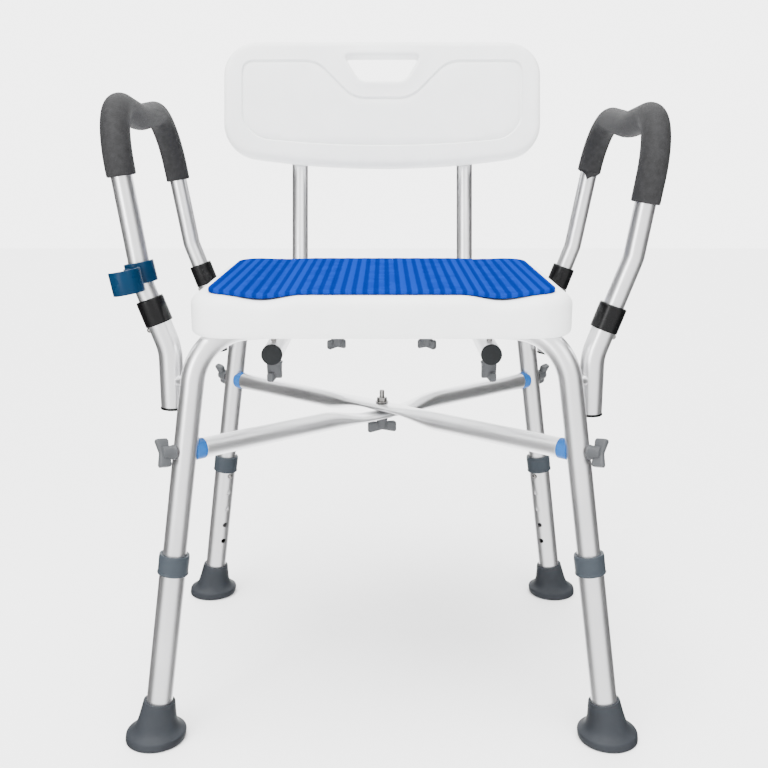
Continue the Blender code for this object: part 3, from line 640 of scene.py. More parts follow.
def make_leg_frames():
    for end in ("front", "rear"):
        body = tube(FRAME_PATH, FRAME_R, Vector((0.0, 1.0, 0.0)), FRAME_R - WALL)
        piece(f"{end}_frame_tube", mirrored(body, 1, SIGN[end]), ALUMINIUM, "chair", f"{end}_leg_frame")


def make_leg(end, side):
    corner = f"{end}_{side}"
    body = f"leg_{corner}"
    sleeve = tube([down_leg(SLEEVE_TOP), down_leg(SLEEVE_END)], SLEEVE_R, UP, FRAME_R + GAP)
    holes = []
    for number in range(HOLE_COUNT):
        centre = down_leg(BUTTON_DOWN + number * HOLE_PITCH)
        holes.append(rod(centre + BUTTON_IN * 0.005, centre + BUTTON_IN * 0.02, HOLE_R))
    sleeve = boolean(sleeve, joined(*holes))
    corner_piece("sleeve", corner, sleeve, ALUMINIUM, body, "leg_sleeve")
    collar = lathe(LEG_FRAME, collar_profile(), closed=True)
    corner_piece("collar", corner, collar, GREY, body, "leg_collar")
    corner_piece("rubber_foot", corner, foot_body(), RUBBER, body, "foot")


def collar_profile():
    over_leg, over_sleeve = FRAME_R + GAP, SLEEVE_R + GAP
    lip = SLEEVE_TOP - GAP
    return [
        (over_sleeve, COLLAR_END),
        (0.0166, COLLAR_END),
        (0.0170, COLLAR_END - 0.0012),
        (0.0164, COLLAR_END - 0.0030),
        (0.0166, COLLAR_TOP + 0.0035),
        (0.0161, COLLAR_TOP),
        (over_leg, COLLAR_TOP),
        (over_leg, lip),
        (over_sleeve, lip),
    ]


def foot_body():
    """Level at the floor and square to the leg at the top: a base rim, a concave flare, a cup."""
    flare = [
        (0.0322, 0.0000), (0.0330, 0.0006), (FOOT_R, 0.0022), (FOOT_R, 0.0078), (0.0330, 0.0092),
        (0.0318, 0.0101), (0.0296, 0.0112), (0.0270, 0.0128), (0.0248, 0.0150), (0.0231, 0.0180),
        (0.0218, 0.0220), (0.0206, 0.0270), (0.0195, 0.0330), (0.0185, 0.0390), (0.0178, 0.0432),
        (0.0174, 0.0449), (0.0167, 0.0455),
    ]
    rings = []
    for radius, z in flare:
        share = min(1.0, max(0.0, (z - 0.0100) / (0.0300 - 0.0100)))
        upward = UP.lerp(LEG_UP, share * share * (3 - 2 * share))
        rings.append(ring(axes(leg_at_height(z), upward, RIGHT), radius))
    bore = SLEEVE_R + GAP
    for z in (FOOT_TOP_Z - 0.0004, leg_at_height(0.0).z + 0.0215):
        rings.append(ring(axes(leg_at_height(z), LEG_UP, RIGHT), bore))
    return skin(rings)


def button_body(origin, outward, flange_out, tip_out):
    """A snap button: a flange inside the tube and a pin with a domed tip."""
    profile = [(0.0045, flange_out - 0.0010), (0.0045, flange_out), (BOLT_R, flange_out)]
    dome = 0.0022
    for step in range(7):
        angle = 0.5 * math.pi * step / 7
        profile.append((BOLT_R * math.cos(angle), tip_out - dome + dome * math.sin(angle)))
    profile.append((0.0003, tip_out))
    turn = axes(origin, outward, UP)
    return skin([ring(turn, radius, height, sides=20) for radius, height in profile])


# ---- wing bolts ----


def knob_body(hub_r, hub_length, wing_half, wing_width):
    """A moulded T-knob along +Z: a tapered hub with a collar, and a wing with thicker, cut tips."""
    hub = lathe(
        Matrix.Identity(4),
        [
            (BOLT_R + 0.0002, 0.0), (hub_r, 0.0), (hub_r, 0.0016), (hub_r * 0.92, 0.0028),
            (hub_r * 0.86, hub_length), (0.0010, hub_length + 0.0008),
        ],
        soften=0.0006,
        sides=28,
    )
    middle = hub_length - wing_width * 0.2
    rings = []
    stations = 15
    for station in range(stations):
        x = wing_half * (2 * station / (stations - 1) - 1)
        out = abs(x) / wing_half
        half_thick = 0.0030 + 0.0012 * out
        half_width = wing_width / 2 * (0.74 + 0.26 * out)
        end = 1.0 if out < 0.99 else 0.80
        lean = 0.10 * abs(x)
        points = []
        for side in range(20):
            angle = 2 * math.pi * side / 20
            cos, sin = math.cos(angle), math.sin(angle)
            y = half_thick * end * math.copysign(abs(cos) ** 0.45, cos)
            z = half_width * end * math.copysign(abs(sin) ** 0.45, sin)
            points.append(Vector((x, y, middle + lean + z)))
        rings.append(points)
    return joined(hub, skin(rings))


def washer(turn, radii, heights, soften, sides=SIDES):
    """A flat ring of an inner and an outer radius between two heights."""
    (inner, outer), (low, high) = radii, heights
    profile = [(inner, low), (outer, low), (outer, high), (inner, high)]
    return lathe(turn, profile, closed=True, soften=soften, sides=sides)


def make_wing_bolt(kind, where, turn, signs):
    """The bolt's body has the bolt's name, and its CAD node has "wing_bolt" for "bolt"."""
    name = f"{kind}_bolt{where}"
    shank, *knob = WING_BOLTS[kind]
    profile = [(BOLT_R * 0.8, -shank), (BOLT_R, -shank + 0.001), (BOLT_R, 0.002)]
    stud = lathe(turn, profile, soften=0.0002, sides=20)
    piece(f"{name}_stud", mirrored(stud, *signs), STEEL, name, like="brace_nut")
    head = moved(knob_body(*knob), turn)
    node = name.replace("bolt", "wing_bolt")
    piece(f"{name}_knob", mirrored(head, *signs), KNOB_GREY, name, node)
    flat = washer(turn, (BOLT_R + 0.0003, WASHER_R), (-0.0003, 0.0001), 0.0001, sides=28)
    piece(f"{name}_washer", mirrored(flat, *signs), STEEL, name, like="brace_nut")


def make_wing_bolts():
    for end, side in CORNERS:
        corner = f"_{end}_{side}"
        signs = (SIGN[side], SIGN[end])
        face = LEG_POINT + LEG_BOLT_OUT * (FRAME_R + GAP)
        turn = axes(face, LEG_BOLT_OUT, Vector((0.35, -0.30, 1.0)))
        make_wing_bolt("leg", corner, turn, signs)
        face = Vector((RAIL_BOLT_X, RAIL_BOW_Y, RAIL_Z - FRAME_R - GAP))
        turn = axes(face, -UP, Vector((0.9, 0.5, 0.0)))
        make_wing_bolt("rail", corner, turn, signs)
    for side in ("left", "right"):
        face = Vector((BACK_X, rail_y(BACK_X), BACK_TUBE_Z - SLIM_R - GAP))
        turn = axes(face, -UP, Vector((0.35, 1.0, 0.0)))
        make_wing_bolt("back", f"_{side}", turn, (SIGN[side], -1))
    turn = axes(Vector((0.0, 0.0, BRACE_Z - CROSSING_HALF)), -UP, Vector((1.0, 0.2, 0.0)))
    make_wing_bolt("brace", "", turn, (1, 1))


# ---- braces ----


def make_brace(name, node, side_y, layer):
    """Round at both ends, and pressed flat where the two tubes cross."""
    stations = [-BRACE_END, -BRACE_END + SOFT_EDGE]
    steps = 14
    pressed = [PRESSED_TO + (PRESSED_FROM - PRESSED_TO) * step / steps for step in range(steps + 1)]
    stations += [-t for t in pressed] + pressed[::-1] + [BRACE_END - SOFT_EDGE, BRACE_END]
    rings = []
    for t in stations:
        share = min(1.0, max(0.0, (PRESSED_TO - abs(t)) / (PRESSED_TO - PRESSED_FROM)))
        flat = share * share * (3 - 2 * share)
        radius = SLIM_R - (SOFT_EDGE if abs(t) > BRACE_END - SOFT_EDGE / 2 else 0.0)
        turn = axes(Vector((0.0, 0.0, BRACE_Z)) + BOLT_OUT * t, BOLT_OUT, UP)
        half_width = radius + (PRESSED_HALF_WIDTH - SLIM_R) * flat
        half_height = radius + (PRESSED_HALF_HEIGHT - SLIM_R) * flat
        shift = PRESSED_SHIFT * flat * layer
        rings.append(ring(turn, half_width, half_height=half_height, shift=shift))
    piece(name, mirrored(skin(rings), 1, side_y), ALUMINIUM, "chair", node)


def make_brace_plug(corner):
    turn = axes(Vector((0.0, 0.0, BRACE_Z)), BOLT_OUT, UP)
    face = BRACE_END + GAP / 2
    profile = [(PLUG_IN_R, face - 0.002), (PLUG_IN_R, face), (PLUG_R, face), (PLUG_R, PLUG_END)]
    profile.append((PLUG_IN_R, PLUG_END + 0.0006))
    body = lathe(turn, profile, soften=0.0009)
    leg = skin([ring(LEG_FRAME, FRAME_R + GAP / 2, height) for height in (-0.03, 0.03)])
    corner_piece("brace_saddle", corner, boolean(body, leg), PLUG_BLUE, "chair", "brace_plug")


def make_braces():
    make_brace("brace_upper", "brace_tube_upper", -1, 1)
    make_brace("brace_lower", "brace_tube_lower", 1, -1)
    for end, side in CORNERS:
        make_brace_plug(f"{end}_{side}")
    up = axes(Vector((0.0, 0.0, BRACE_Z + CROSSING_HALF)), UP, RIGHT)
    nut = washer(up, (0.0034, 0.0062), (0.0012, 0.0060), 0.0005, sides=6)
    flat = washer(up, (0.0034, 0.0080), (0.0, 0.0011), 0.0003)
    piece("brace_nut_and_washer", joined(nut, flat), STEEL, "chair", "brace_nut")


# ---- arms ----


def arm_seat_point(corner, distance):
    """A point on the leaning line of an arm's end, below the collar's top, on the +X side."""
    end = corner.split("_")[0]
    return Vector((COLLAR_X[end], SIGN[end] * ARM_Y, COLLAR_Z[corner])) - ARM_AXIS * distance


def on_arm_line(corner, z):
    return arm_seat_point(corner, (COLLAR_Z[corner] - z) / ARM_AXIS.z)


def arm_corners(side):
    """The turning points of an arm on the +X side, from its front end to its rear end."""
    front, rear = f"front_{side}", f"rear_{side}"
    top_front = Vector((ARM_TOP_X[front], -ARM_Y, ARM_TOP_Z[front]))
    top_rear = Vector((ARM_TOP_X[rear], ARM_Y, ARM_TOP_Z[rear]))
    dip = (top_front + top_rear) / 2 - Vector((0.0, 0.0, ARM_DIP))
    points = [arm_seat_point(front, ARM_DEPTH), on_arm_line(front, ARM_TURN_Z[front]), top_front, dip]
    return points + [top_rear, on_arm_line(rear, ARM_TURN_Z[rear]), arm_seat_point(rear, ARM_DEPTH)]


def make_arm(side):
    corners = arm_corners(side)
    sign = SIGN[side]
    path = rounded_path(corners, [ARM_TURN_R, ARM_BEND_R, ARM_DIP_R, ARM_BEND_R, ARM_TURN_R])
    body = tube(path, SLIM_R, RIGHT, SLIM_R - WALL)
    piece(f"arm_{side}_tube", mirrored(body, sign, 1), ALUMINIUM, f"arm_{side}", f"arm_tube_{side}")
    ends = []
    for end, low, high in (("front", corners[1], corners[2]), ("rear", corners[5], corners[4])):
        ends.append(low.lerp(high, (GRIP_LOW_Z[f"{end}_{side}"] - low.z) / (high.z - low.z)))
    path = rounded_path([ends[0], *corners[2:5], ends[1]], [ARM_BEND_R, ARM_DIP_R, ARM_BEND_R])
    sleeve = mirrored(foam_sleeve(path), sign, 1)
    grip = piece(f"arm_{side}_grip", sleeve, FOAM, f"arm_{side}", f"arm_grip_{side}")


def foam_sleeve(path):
    """A thick sleeve with round rims."""
    rim = 0.0022
    first = (path[1] - path[0]).normalized()
    last = (path[-2] - path[-1]).normalized()
    steps = 5
    lead = [rim * (1 - math.cos(0.5 * math.pi * step / steps)) for step in range(steps)]
    swell = [math.sin(0.5 * math.pi * step / steps) for step in range(steps)]
    points = [path[0] + first * s for s in lead] + path[1:-1] + [path[-1] + last * s for s in lead[::-1]]
    radii = [GRIP_R - rim + rim * s for s in swell] + [GRIP_R] * (len(path) - 2)
    radii += [GRIP_R - rim + rim * s for s in swell[::-1]]
    frames = along_path(points, RIGHT)
    outside = [ring(turn, radius) for turn, radius in zip(frames, radii)]
    inside = [ring(turn, SLIM_R + GAP / 2) for turn in frames]
    return skin(outside + inside[::-1], closed=True)


def make_arm_socket(end, side):
    corner = f"{end}_{side}"
    top = arm_seat_point(corner, SOCKET_TOP_DOWN)
    button = arm_seat_point(corner, ARM_BUTTON_DOWN)
    for vector in (top, button):
        vector.y *= SIGN[end]
    collar_z = COLLAR_Z[corner]
    lean = math.atan2(ARM_AXIS.x, ARM_AXIS.z)
    turn_z = collar_z - (COLLAR_X[end] - SOCKET_X[end]) / math.tan(lean)
    low = Vector((SOCKET_X[end], ARM_Y, collar_z - SOCKET_HEIGHT + 0.0004))
    path = rounded_path([low, Vector((SOCKET_X[end], ARM_Y, turn_z)), top], [BEND_R])
    body = tube(path, FRAME_R, Vector((0.0, 1.0, 0.0)), SLIM_R + GAP)
    body = boolean(body, rod(button + ARM_OUT * 0.004, button + ARM_OUT * 0.02, HOLE_R))
    corner_piece("socket", corner, body, ALUMINIUM, "chair", "arm_socket")
    spot = leg_at_height(SPACER_Z)
    start = Vector((SOCKET_X[end], ARM_Y, SPACER_Z))
    ahead = (spot - start).normalized()
    heights = (FRAME_R - 0.002, (spot - start).length - FRAME_R + 0.002)
    profile = [(SPACER_R, height) for height in heights]
    spacer = lathe(axes(start, ahead, UP), profile, soften=0.0, sides=28)
    leg = skin([ring(LEG_FRAME, FRAME_R, height) for height in (-0.12, 0.02)])
    spacer = boolean(spacer, leg)
    corner_piece("socket_spacer", corner, spacer, ALUMINIUM, "chair", like=f"arm_socket_{corner}")
    profile = [(0.0100, -0.006), (0.0104, 0.0), (CAP_R, 0.0), (CAP_R, 0.0022), (0.0100, 0.0034)]
    cap = lathe(axes(low, -UP, RIGHT), profile, soften=0.0008)
    corner_piece("socket_cap", corner, cap, BLACK, "chair", like="arm_collar_front_left")
    screw = screw_head(axes(start - ahead * FRAME_R, -ahead, UP))
    corner_piece("socket_screw", corner, screw, STEEL, "chair", like="brace_nut")


def screw_head(turn, radius=0.0048, height=0.0026):
    """A domed head with a hexagon recess."""
    profile = [(radius, -0.0006), (radius, 0.0004)]
    for step in range(1, 7):
        angle = 0.5 * math.pi * step / 7
        profile.append((radius * math.cos(angle), 0.0004 + (height - 0.0004) * math.sin(angle)))
    head = skin([ring(turn, r, h, sides=28) for r, h in profile])
    recess = skin([ring(turn, 0.0019, h, sides=6) for h in (0.0010, height + 0.001)])
    return boolean(head, recess)


def make_arm_collar(end, side):
    corner = f"{end}_{side}"
    over_socket, over_arm = FRAME_R + GAP, SLIM_R + GAP
    lip = GAP - SOCKET_TOP_DOWN
    profile = [
        (over_socket, -COLLAR_LENGTH), (0.0146, -COLLAR_LENGTH), (0.0148, -COLLAR_LENGTH + 0.0010),
        (0.0148, -0.0016), (0.0141, 0.0), (over_arm, 0.0), (over_arm, lip), (over_socket, lip),
    ]
    body = lathe(axes(arm_seat_point(corner, 0.0), ARM_AXIS, RIGHT), profile, closed=True, soften=0.0007)
    piece(f"black_collar_{corner}", mirrored(body, SIGN[side], 1), BLACK, "chair", f"arm_collar_{corner}")


def make_buttons(end, side):
    corner = f"{end}_{side}"
    leg = button_body(down_leg(BUTTON_DOWN), BUTTON_IN, *LEG_BUTTON)
    corner_piece("leg_pin", corner, leg, STEEL, f"leg_button_{corner}", "leg_button")
    seat = arm_seat_point(corner, ARM_BUTTON_DOWN)
    seat.y *= SIGN[end]
    arm = button_body(seat, ARM_OUT, *ARM_BUTTON)
    corner_piece("arm_pin", corner, arm, STEEL, f"arm_button_{corner}", "arm_button")


# ---- hand shower clip ----


def rounded_band(centre, inner, outer, arc, heights, steps):
    """A round band with soft edges and round ends, over part of a circle in XY."""
    start, end = arc
    low, high = heights
    corners = [(inner, low), (outer, low), (outer, high), (inner, high)]
    section = filleted(corners, 0.0011, closed=True, steps=3)
    middle = Vector(((inner + outer) / 2, (low + high) / 2))
    taper = ((0.0, 0.55), (0.02, 0.85), (0.05, 1.0), (0.95, 1.0), (0.98, 0.85), (1.0, 0.55))
    shares = sorted({share for share, _ in taper} | {step / steps for step in range(steps + 1)})
    rings = []
    for share in shares:
        angle = start + (end - start) * share
        ray = Vector((math.cos(angle), math.sin(angle), 0.0))
        squeeze = float(np.interp(share, [s for s, _ in taper], [k for _, k in taper]))
        points = []
        for point in section:
            r = middle.x + (point.x - middle.x) * squeeze
            z = middle.y + (point.y - middle.y) * (0.94 + 0.06 * squeeze)
            points.append(centre + ray * r + Vector((0.0, 0.0, z)))
        rings.append(points)
    return skin(rings)


def make_clip():
    hold_in = SLIM_R + CLIP_PLAY
    toward = math.atan2(CRADLE_Y, CRADLE_X)
    half = CLIP_HEIGHT / 2
    arc = (toward - HOLD_HALF_ARC, toward + HOLD_HALF_ARC)
    hold = rounded_band(Vector(), hold_in, hold_in + CLIP_WALL, arc, (-half, half), 40)
    cradle = Vector((CRADLE_X, CRADLE_Y, -CRADLE_DROP))
    half = CRADLE_HEIGHT / 2
    arc = (CRADLE_OPENING + 0.75, CRADLE_OPENING + 5.53)
    cup = rounded_band(cradle, CRADLE_R - CLIP_WALL, CRADLE_R, arc, (-half, half), 48)
    body = boolean(hold, cup, "UNION")
    at = joint_point("clip_swivel") - ORIGIN
    moved(body, axes(at, joint_axis("clip_swivel"), RIGHT))
    piece("hand_shower_clip", body, TEAL, "clip", "shower_clip")


# ---- backrest tubes ----


def make_back_tube(side):
    front = Vector((BACK_X, BACK_TUBE_FRONT_Y, BACK_TUBE_Z))
    turn = Vector((BACK_X, RECLINE_Y, BACK_TUBE_Z))
    top = turn + PANEL_UP * (BACK_TUBE_TOP_Z - BACK_TUBE_Z) / PANEL_UP.z
    sign = SIGN[side]
    body = tube(rounded_path([front, turn, top], [BEND_R]), SLIM_R, UP, SLIM_R - WALL)
    piece(f"back_{side}_tube", mirrored(body, sign, 1), ALUMINIUM, "chair", f"back_tube_{side}")
    profile = [(INSERT_R, -0.010), (INSERT_R, 0.0002), (0.0113, 0.0002), (0.0113, 0.0034)]
    profile += [(0.0104, 0.0046), (0.0010, 0.0050)]
    body = lathe(axes(front, Vector((0.0, -1.0, 0.0)), UP), profile, soften=0.0008)
    piece(f"back_{side}_cap", mirrored(body, sign, 1), DARK_CAP, "chair", f"back_tube_cap_{side}")
    profile = [(INSERT_R, -0.010), (INSERT_R, 0.0001), (0.0112, 0.0001), (0.0110, 0.0022)]
    plug = mirrored(lathe(axes(top, PANEL_UP, RIGHT), profile, soften=0.0006), sign, 1)
    piece(f"back_{side}_top_plug", plug, DARK_CAP, "chair", like=f"back_tube_cap_{side}")
    for number, z in enumerate(PANEL_SCREW_Z):
        axis_point = turn + PANEL_UP * (z - BACK_TUBE_Z) / PANEL_UP.z
        head = screw_head(axes(axis_point - PANEL_FRONT * (SLIM_R - 0.0002), -PANEL_FRONT, UP))
        piece(f"panel_screw_{side}_{number}", mirrored(head, sign, 1), STEEL, "chair", like="brace_nut")


# ---- plates: the seat, the mat and the backrest panel ----


def polygon_distance(points, polygon):
    """Distance of 2D points from a closed outline, positive inside it."""
    inside = np.zeros(len(points), bool)
    nearest = np.full(len(points), np.inf)
    for a, b in zip(polygon, np.roll(polygon, -1, axis=0)):
        edge = b - a
        share = np.clip(((points - a) @ edge) / (edge @ edge), 0.0, 1.0)
        nearest = np.minimum(nearest, np.linalg.norm(points - a - share[:, None] * edge, axis=1))
        crosses = (a[1] > points[:, 1]) != (b[1] > points[:, 1])
        rise = edge[1] if edge[1] else 1e-12
        left = points[:, 0] < edge[0] * (points[:, 1] - a[1]) / rise + a[0]
        inside ^= crosses & left
    return np.where(inside, nearest, -nearest)


def inset(polygon, distance):
    """An anticlockwise outline moved inwards by a distance."""
    ahead = np.roll(polygon, -1, axis=0) - np.roll(polygon, 1, axis=0)
    ahead /= np.linalg.norm(ahead, axis=1)[:, None]
    return polygon + np.column_stack([-ahead[:, 1], ahead[:, 0]]) * distance


def plate(outline, holes, contours, top, bottom, spacing):
    """A closed body between two height fields over an outline with holes.

    The fields are functions of the 2D points and their distance from the nearest edge.
    """
    loops = [outline, *holes]
    fixed = np.vstack(loops)
    extra = np.vstack(contours)
    low, high = outline.min(axis=0), outline.max(axis=0)
    columns = np.arange(low[0], high[0], spacing[0])
    rows = np.arange(low[1], high[1], spacing[1])
    grid = np.array([(x, y) for x in columns for y in rows])
    clear = polygon_distance(grid, outline) > 0.5 * min(spacing)
    for hole in holes:
        clear &= polygon_distance(grid, hole) < -0.5 * min(spacing)
    grid = grid[clear]
    lines = np.vstack([fixed, extra])
    far = np.ones(len(grid), bool)
    for start in range(0, len(lines), 200):
        apart = grid[:, None, :] - lines[None, start : start + 200, :]
        far &= (np.abs(apart).max(axis=2) > 0.45 * min(spacing)).all(axis=1)
    points = np.vstack([fixed, extra, grid[far]])
    edges = []
    first = 0
    for loop in loops:
        edges += [(first + i, first + (i + 1) % len(loop)) for i in range(len(loop))]
        first += len(loop)
    result = delaunay_2d_cdt([Vector(p) for p in points], edges, [], 0, 1e-7)
    flat = np.array([(p.x, p.y) for p in result[0]])
    faces = np.array(result[2])
    centres = flat[faces].mean(axis=1)
    keep = polygon_distance(centres, outline) > 0
    for hole in holes:
        keep &= polygon_distance(centres, hole) < 0
    faces = faces[keep]
    edge = polygon_distance(flat, outline)
    for hole in holes:
        edge = np.minimum(edge, -polygon_distance(flat, hole))
    edge = np.maximum(edge, 0.0)
    bm = bmesh.new()
    upper = [bm.verts.new((p[0], p[1], z)) for p, z in zip(flat, top(flat, edge))]
    lower = [bm.verts.new((p[0], p[1], z)) for p, z in zip(flat, bottom(flat, edge))]
    used = {}
    for a, b, c in faces:
        bm.faces.new((upper[a], upper[b], upper[c]))
        bm.faces.new((lower[c], lower[b], lower[a]))
        for pair in ((a, b), (b, c), (c, a)):
            used[pair] = used.get(pair, 0) + 1
    for a, b in used:
        if (b, a) not in used:
            bm.faces.new((upper[b], upper[a], lower[a], lower[b]))
    loose = [vert for vert in bm.verts if not vert.link_faces]
    bmesh.ops.delete(bm, geom=loose, context="VERTS")
    return bm


def rounding(edge, radius):
    """How far a surface has dropped below its level, at a distance from a rounded edge."""
    reach = np.clip(radius - edge, 0.0, radius)
    return radius - np.sqrt(radius**2 - reach**2)


def round_steps(radius):
    return [radius * (1 - math.cos(0.5 * math.pi * step / 5)) for step in range(1, 6)]


def smooth(value):
    value = np.clip(value, 0.0, 1.0)
    return value * value * (3 - 2 * value)


def rounded_rectangle(half_x, y_range, radius, step=0.005):
    low_y, high_y = y_range
    points = []
    for side_x, side_y, start in ((1, 1, 0.0), (-1, 1, 0.5), (-1, -1, 1.0), (1, -1, 1.5)):
        x = side_x * (half_x - radius)
        y = high_y - radius if side_y > 0 else low_y + radius
        for turn in range(13):
            angle = math.pi * (start + 0.5 * turn / 12)
            points.append((x + radius * math.cos(angle), y + radius * math.sin(angle)))
    return resampled(np.array(points), step)


def resampled(polygon, step):
    """The same closed outline with its long stretches cut into steps."""
    result = []
    for a, b in zip(polygon, np.roll(polygon, -1, axis=0)):
        count = max(1, round(float(np.linalg.norm(b - a)) / step))
        result += [a + (b - a) * share / count for share in range(count)]
    return np.array(result)


def seat_level(points, share=1.0):
    """Height of the seat's top: it rises to the rear, and its two troughs fade to the rear."""
    back = (points[:, 1] - SEAT_Y[0]) / (SEAT_Y[1] - SEAT_Y[0])
    away = np.clip(np.abs(np.abs(points[:, 0]) - TROUGH_X) / TROUGH_HALF, 0.0, 1.0)
    depth = TROUGH_DEPTH + (TROUGH_REAR_DEPTH - TROUGH_DEPTH) * back
    return SEAT_Z[1] + SEAT_RISE * back - share * depth * 0.5 * (1 + np.cos(math.pi * away))


def make_seat():
    outline = rounded_rectangle(SEAT_HALF_X, SEAT_Y, SEAT_CORNER_R)
    wall = 0.0012
    depths = round_steps(SEAT_TOP_ROUND) + [RIM - wall, RIM, RIM + wall]

    def top(points, edge):
        return seat_level(points) - rounding(edge, SEAT_TOP_ROUND)

    def bottom(points, edge):
        recess = smooth((edge - RIM + wall) / (2 * wall)) * (SEAT_UNDER_Z - SEAT_Z[0])
        return SEAT_Z[0] + rounding(edge, SEAT_LOW_ROUND) + recess

    body = plate(outline, [], [inset(outline, depth) for depth in depths], top, bottom, (0.006, 0.008))
    for side_y in (-1, 1):
        room = tube(FRAME_PATH, FRAME_R + 0.0003, Vector((0.0, 1.0, 0.0)), sides=28)
        body = boolean(body, mirrored(room, 1, side_y))
    piece("seat_body", body, WHITE, "chair", "seat_shell")


def make_mat():
    """A ribbed mat that follows the seat, with a scalloped rear edge."""
    outline = rounded_rectangle(MAT_HALF_X, MAT_Y, MAT_CORNER_R, 0.003)
    straight = np.clip((MAT_HALF_X - MAT_CORNER_R - np.abs(outline[:, 0])) / 0.01, 0.0, 1.0)
    wave = 0.0009 * np.cos(outline[:, 0] * 2 * math.pi / 0.022) * straight
    outline[:, 1] += np.where(outline[:, 1] > 0, wave - 0.0009, 0.0)
    edge_round = 0.0018
    slack = 0.75

    def ribs(points, edge):
        profile = np.abs(np.cos(math.pi * points[:, 0] / RIB_PITCH)) ** 0.8
        return -0.0010 * (1 - profile) * smooth((edge - 0.004) / 0.004)

    def top(points, edge):
        level = seat_level(points, slack) + MAT_GAP + MAT_THICK
        return level + ribs(points, edge) - rounding(edge, edge_round)

    def bottom(points, edge):
        return seat_level(points, slack) + MAT_GAP

    contours = [inset(outline, depth) for depth in (0.0005, 0.0018, 0.0040, 0.0080)]
    body = plate(outline, [], contours, top, bottom, (RIB_PITCH / 6, 0.0066))
    mat = piece("ribbed_mat", body, MAT_BLUE, "chair", "seat_mat", sharp=60.0)


def panel_outline():
    """(x, v) points of the backrest: round corners, and a bottom edge that bows down."""
    low_r, high_r = 0.048, 0.046
    points = []
    reach = PANEL_HALF_X - low_r
    for step in range(-20, 21):
        x = reach * step / 20
        points.append((x, PANEL_BOW * (x / reach) ** 2))
    start = -0.5 * math.pi + math.atan(2 * PANEL_BOW / reach)
    for step in range(1, 13):
        angle = start + (0.0 - start) * step / 12
        centre_v = PANEL_BOW - low_r * math.sin(start)
        x = reach + low_r * (math.cos(angle) - math.cos(start))
        points.append((x, centre_v + low_r * math.sin(angle)))
    wide = points[-1][0]
    for step in range(13):
        angle = 0.5 * math.pi * step / 12
        x = wide - high_r + high_r * math.cos(angle)
        points.append((x, PANEL_HEIGHT - high_r + high_r * math.sin(angle)))
    corner = points[41:]
    points += [(-x, v) for x, v in corner[::-1]]
    scale = PANEL_HALF_X / wide
    return resampled(np.array(points) * (scale, 1.0), 0.006)


def smooth_outline(corners, radius):
    points = filleted(corners, radius, closed=True, steps=8)
    return resampled(np.array([(p.x, p.y) for p in points]), 0.004)


def panel_slot():
    half_top, half_low, low, high = 0.0535, 0.0315, 0.1185, 0.1540
    return smooth_outline([(-half_low, low), (half_low, low), (half_top, high), (-half_top, high)], 0.010)


def panel_recess():
    """The sunken field of the backrest: it passes under the slot in a shallow trapezoid."""
    side, top, dip, low = 0.195, 0.1480, 0.0965, 0.0275
    half_low = 0.172
    across = (-half_low, -0.115, -0.058, 0.0, 0.058, 0.115, half_low)
    bottom = [(x, low + 0.75 * PANEL_BOW * (x / half_low) ** 2) for x in across]
    corners = bottom + [(side, 0.060), (side, top), (0.0905, top), (0.0400, dip)]
    corners += [(-0.0400, dip), (-0.0905, top), (-side, top), (-side, 0.060)]
    return smooth_outline(corners, 0.018)


def make_panel():
    outline, slot, recess = panel_outline(), panel_slot(), panel_recess()
    front_round, back_round, slot_round = 0.0085, 0.0060, 0.0040
    sink, slope = 0.0018, 0.0022
    groove, groove_half = 0.0016, 0.0022
    rim = 0.0012

    def top(points, edge):
        inward = polygon_distance(points, recess)
        from_slot = -polygon_distance(points, slot)
        crown = rim * smooth(polygon_distance(points, outline) / 0.06)
        near_slot = from_slot < slot_round * 1.5
        drop = np.where(near_slot, rounding(edge, slot_round), rounding(edge, front_round))
        lip = rim * smooth((0.012 - from_slot) / 0.006)
        line = groove * smooth(1.0 - np.abs(inward - slope) / groove_half)
        return PANEL_THICK - rim + crown + lip - drop - sink * smooth(inward / slope) - line

    def bottom(points, edge):
        near_slot = -polygon_distance(points, slot) < slot_round * 1.5
        return np.where(near_slot, rounding(edge, slot_round), rounding(edge, back_round))

    contours = [inset(outline, depth) for depth in round_steps(front_round)]
    contours += [inset(slot, -depth) for depth in round_steps(slot_round) + [0.0065, 0.0090, 0.0120]]
    contours += [inset(recess, depth) for depth in (0.0, 0.0008, 0.0015, 0.0022, 0.0029, 0.0036, 0.0044)]
    body = plate(outline, [slot], contours, top, bottom, (0.007, 0.007))
    axis_z = PANEL_LOW_Z - (SLIM_R + 0.0003) * PANEL_FRONT.z
    axis_y = RECLINE_Y + (axis_z - BACK_TUBE_Z) * math.tan(RECLINE)
    turn = Matrix((RIGHT, PANEL_UP, PANEL_FRONT)).transposed().to_4x4()
    turn.translation = Vector((0.0, axis_y, axis_z)) + PANEL_FRONT * (SLIM_R + 0.0003)
    piece("backrest", moved(body, turn), WHITE, "chair", "backrest_panel")


# ---- studio ----


def add_area(name, at, size, power, target=Vector((0.0, 0.0, 0.42))):
    lamp = bpy.data.lights.new(name, "AREA")
    lamp.shape = "RECTANGLE"
    lamp.size, lamp.size_y = size
    lamp.energy = power
    obj = bpy.data.objects.new(name, lamp)
    obj.location = at
    obj.rotation_euler = (Vector(target) - Vector(at)).to_track_quat("-Z", "Y").to_euler()
    bpy.context.scene.collection.objects.link(obj)


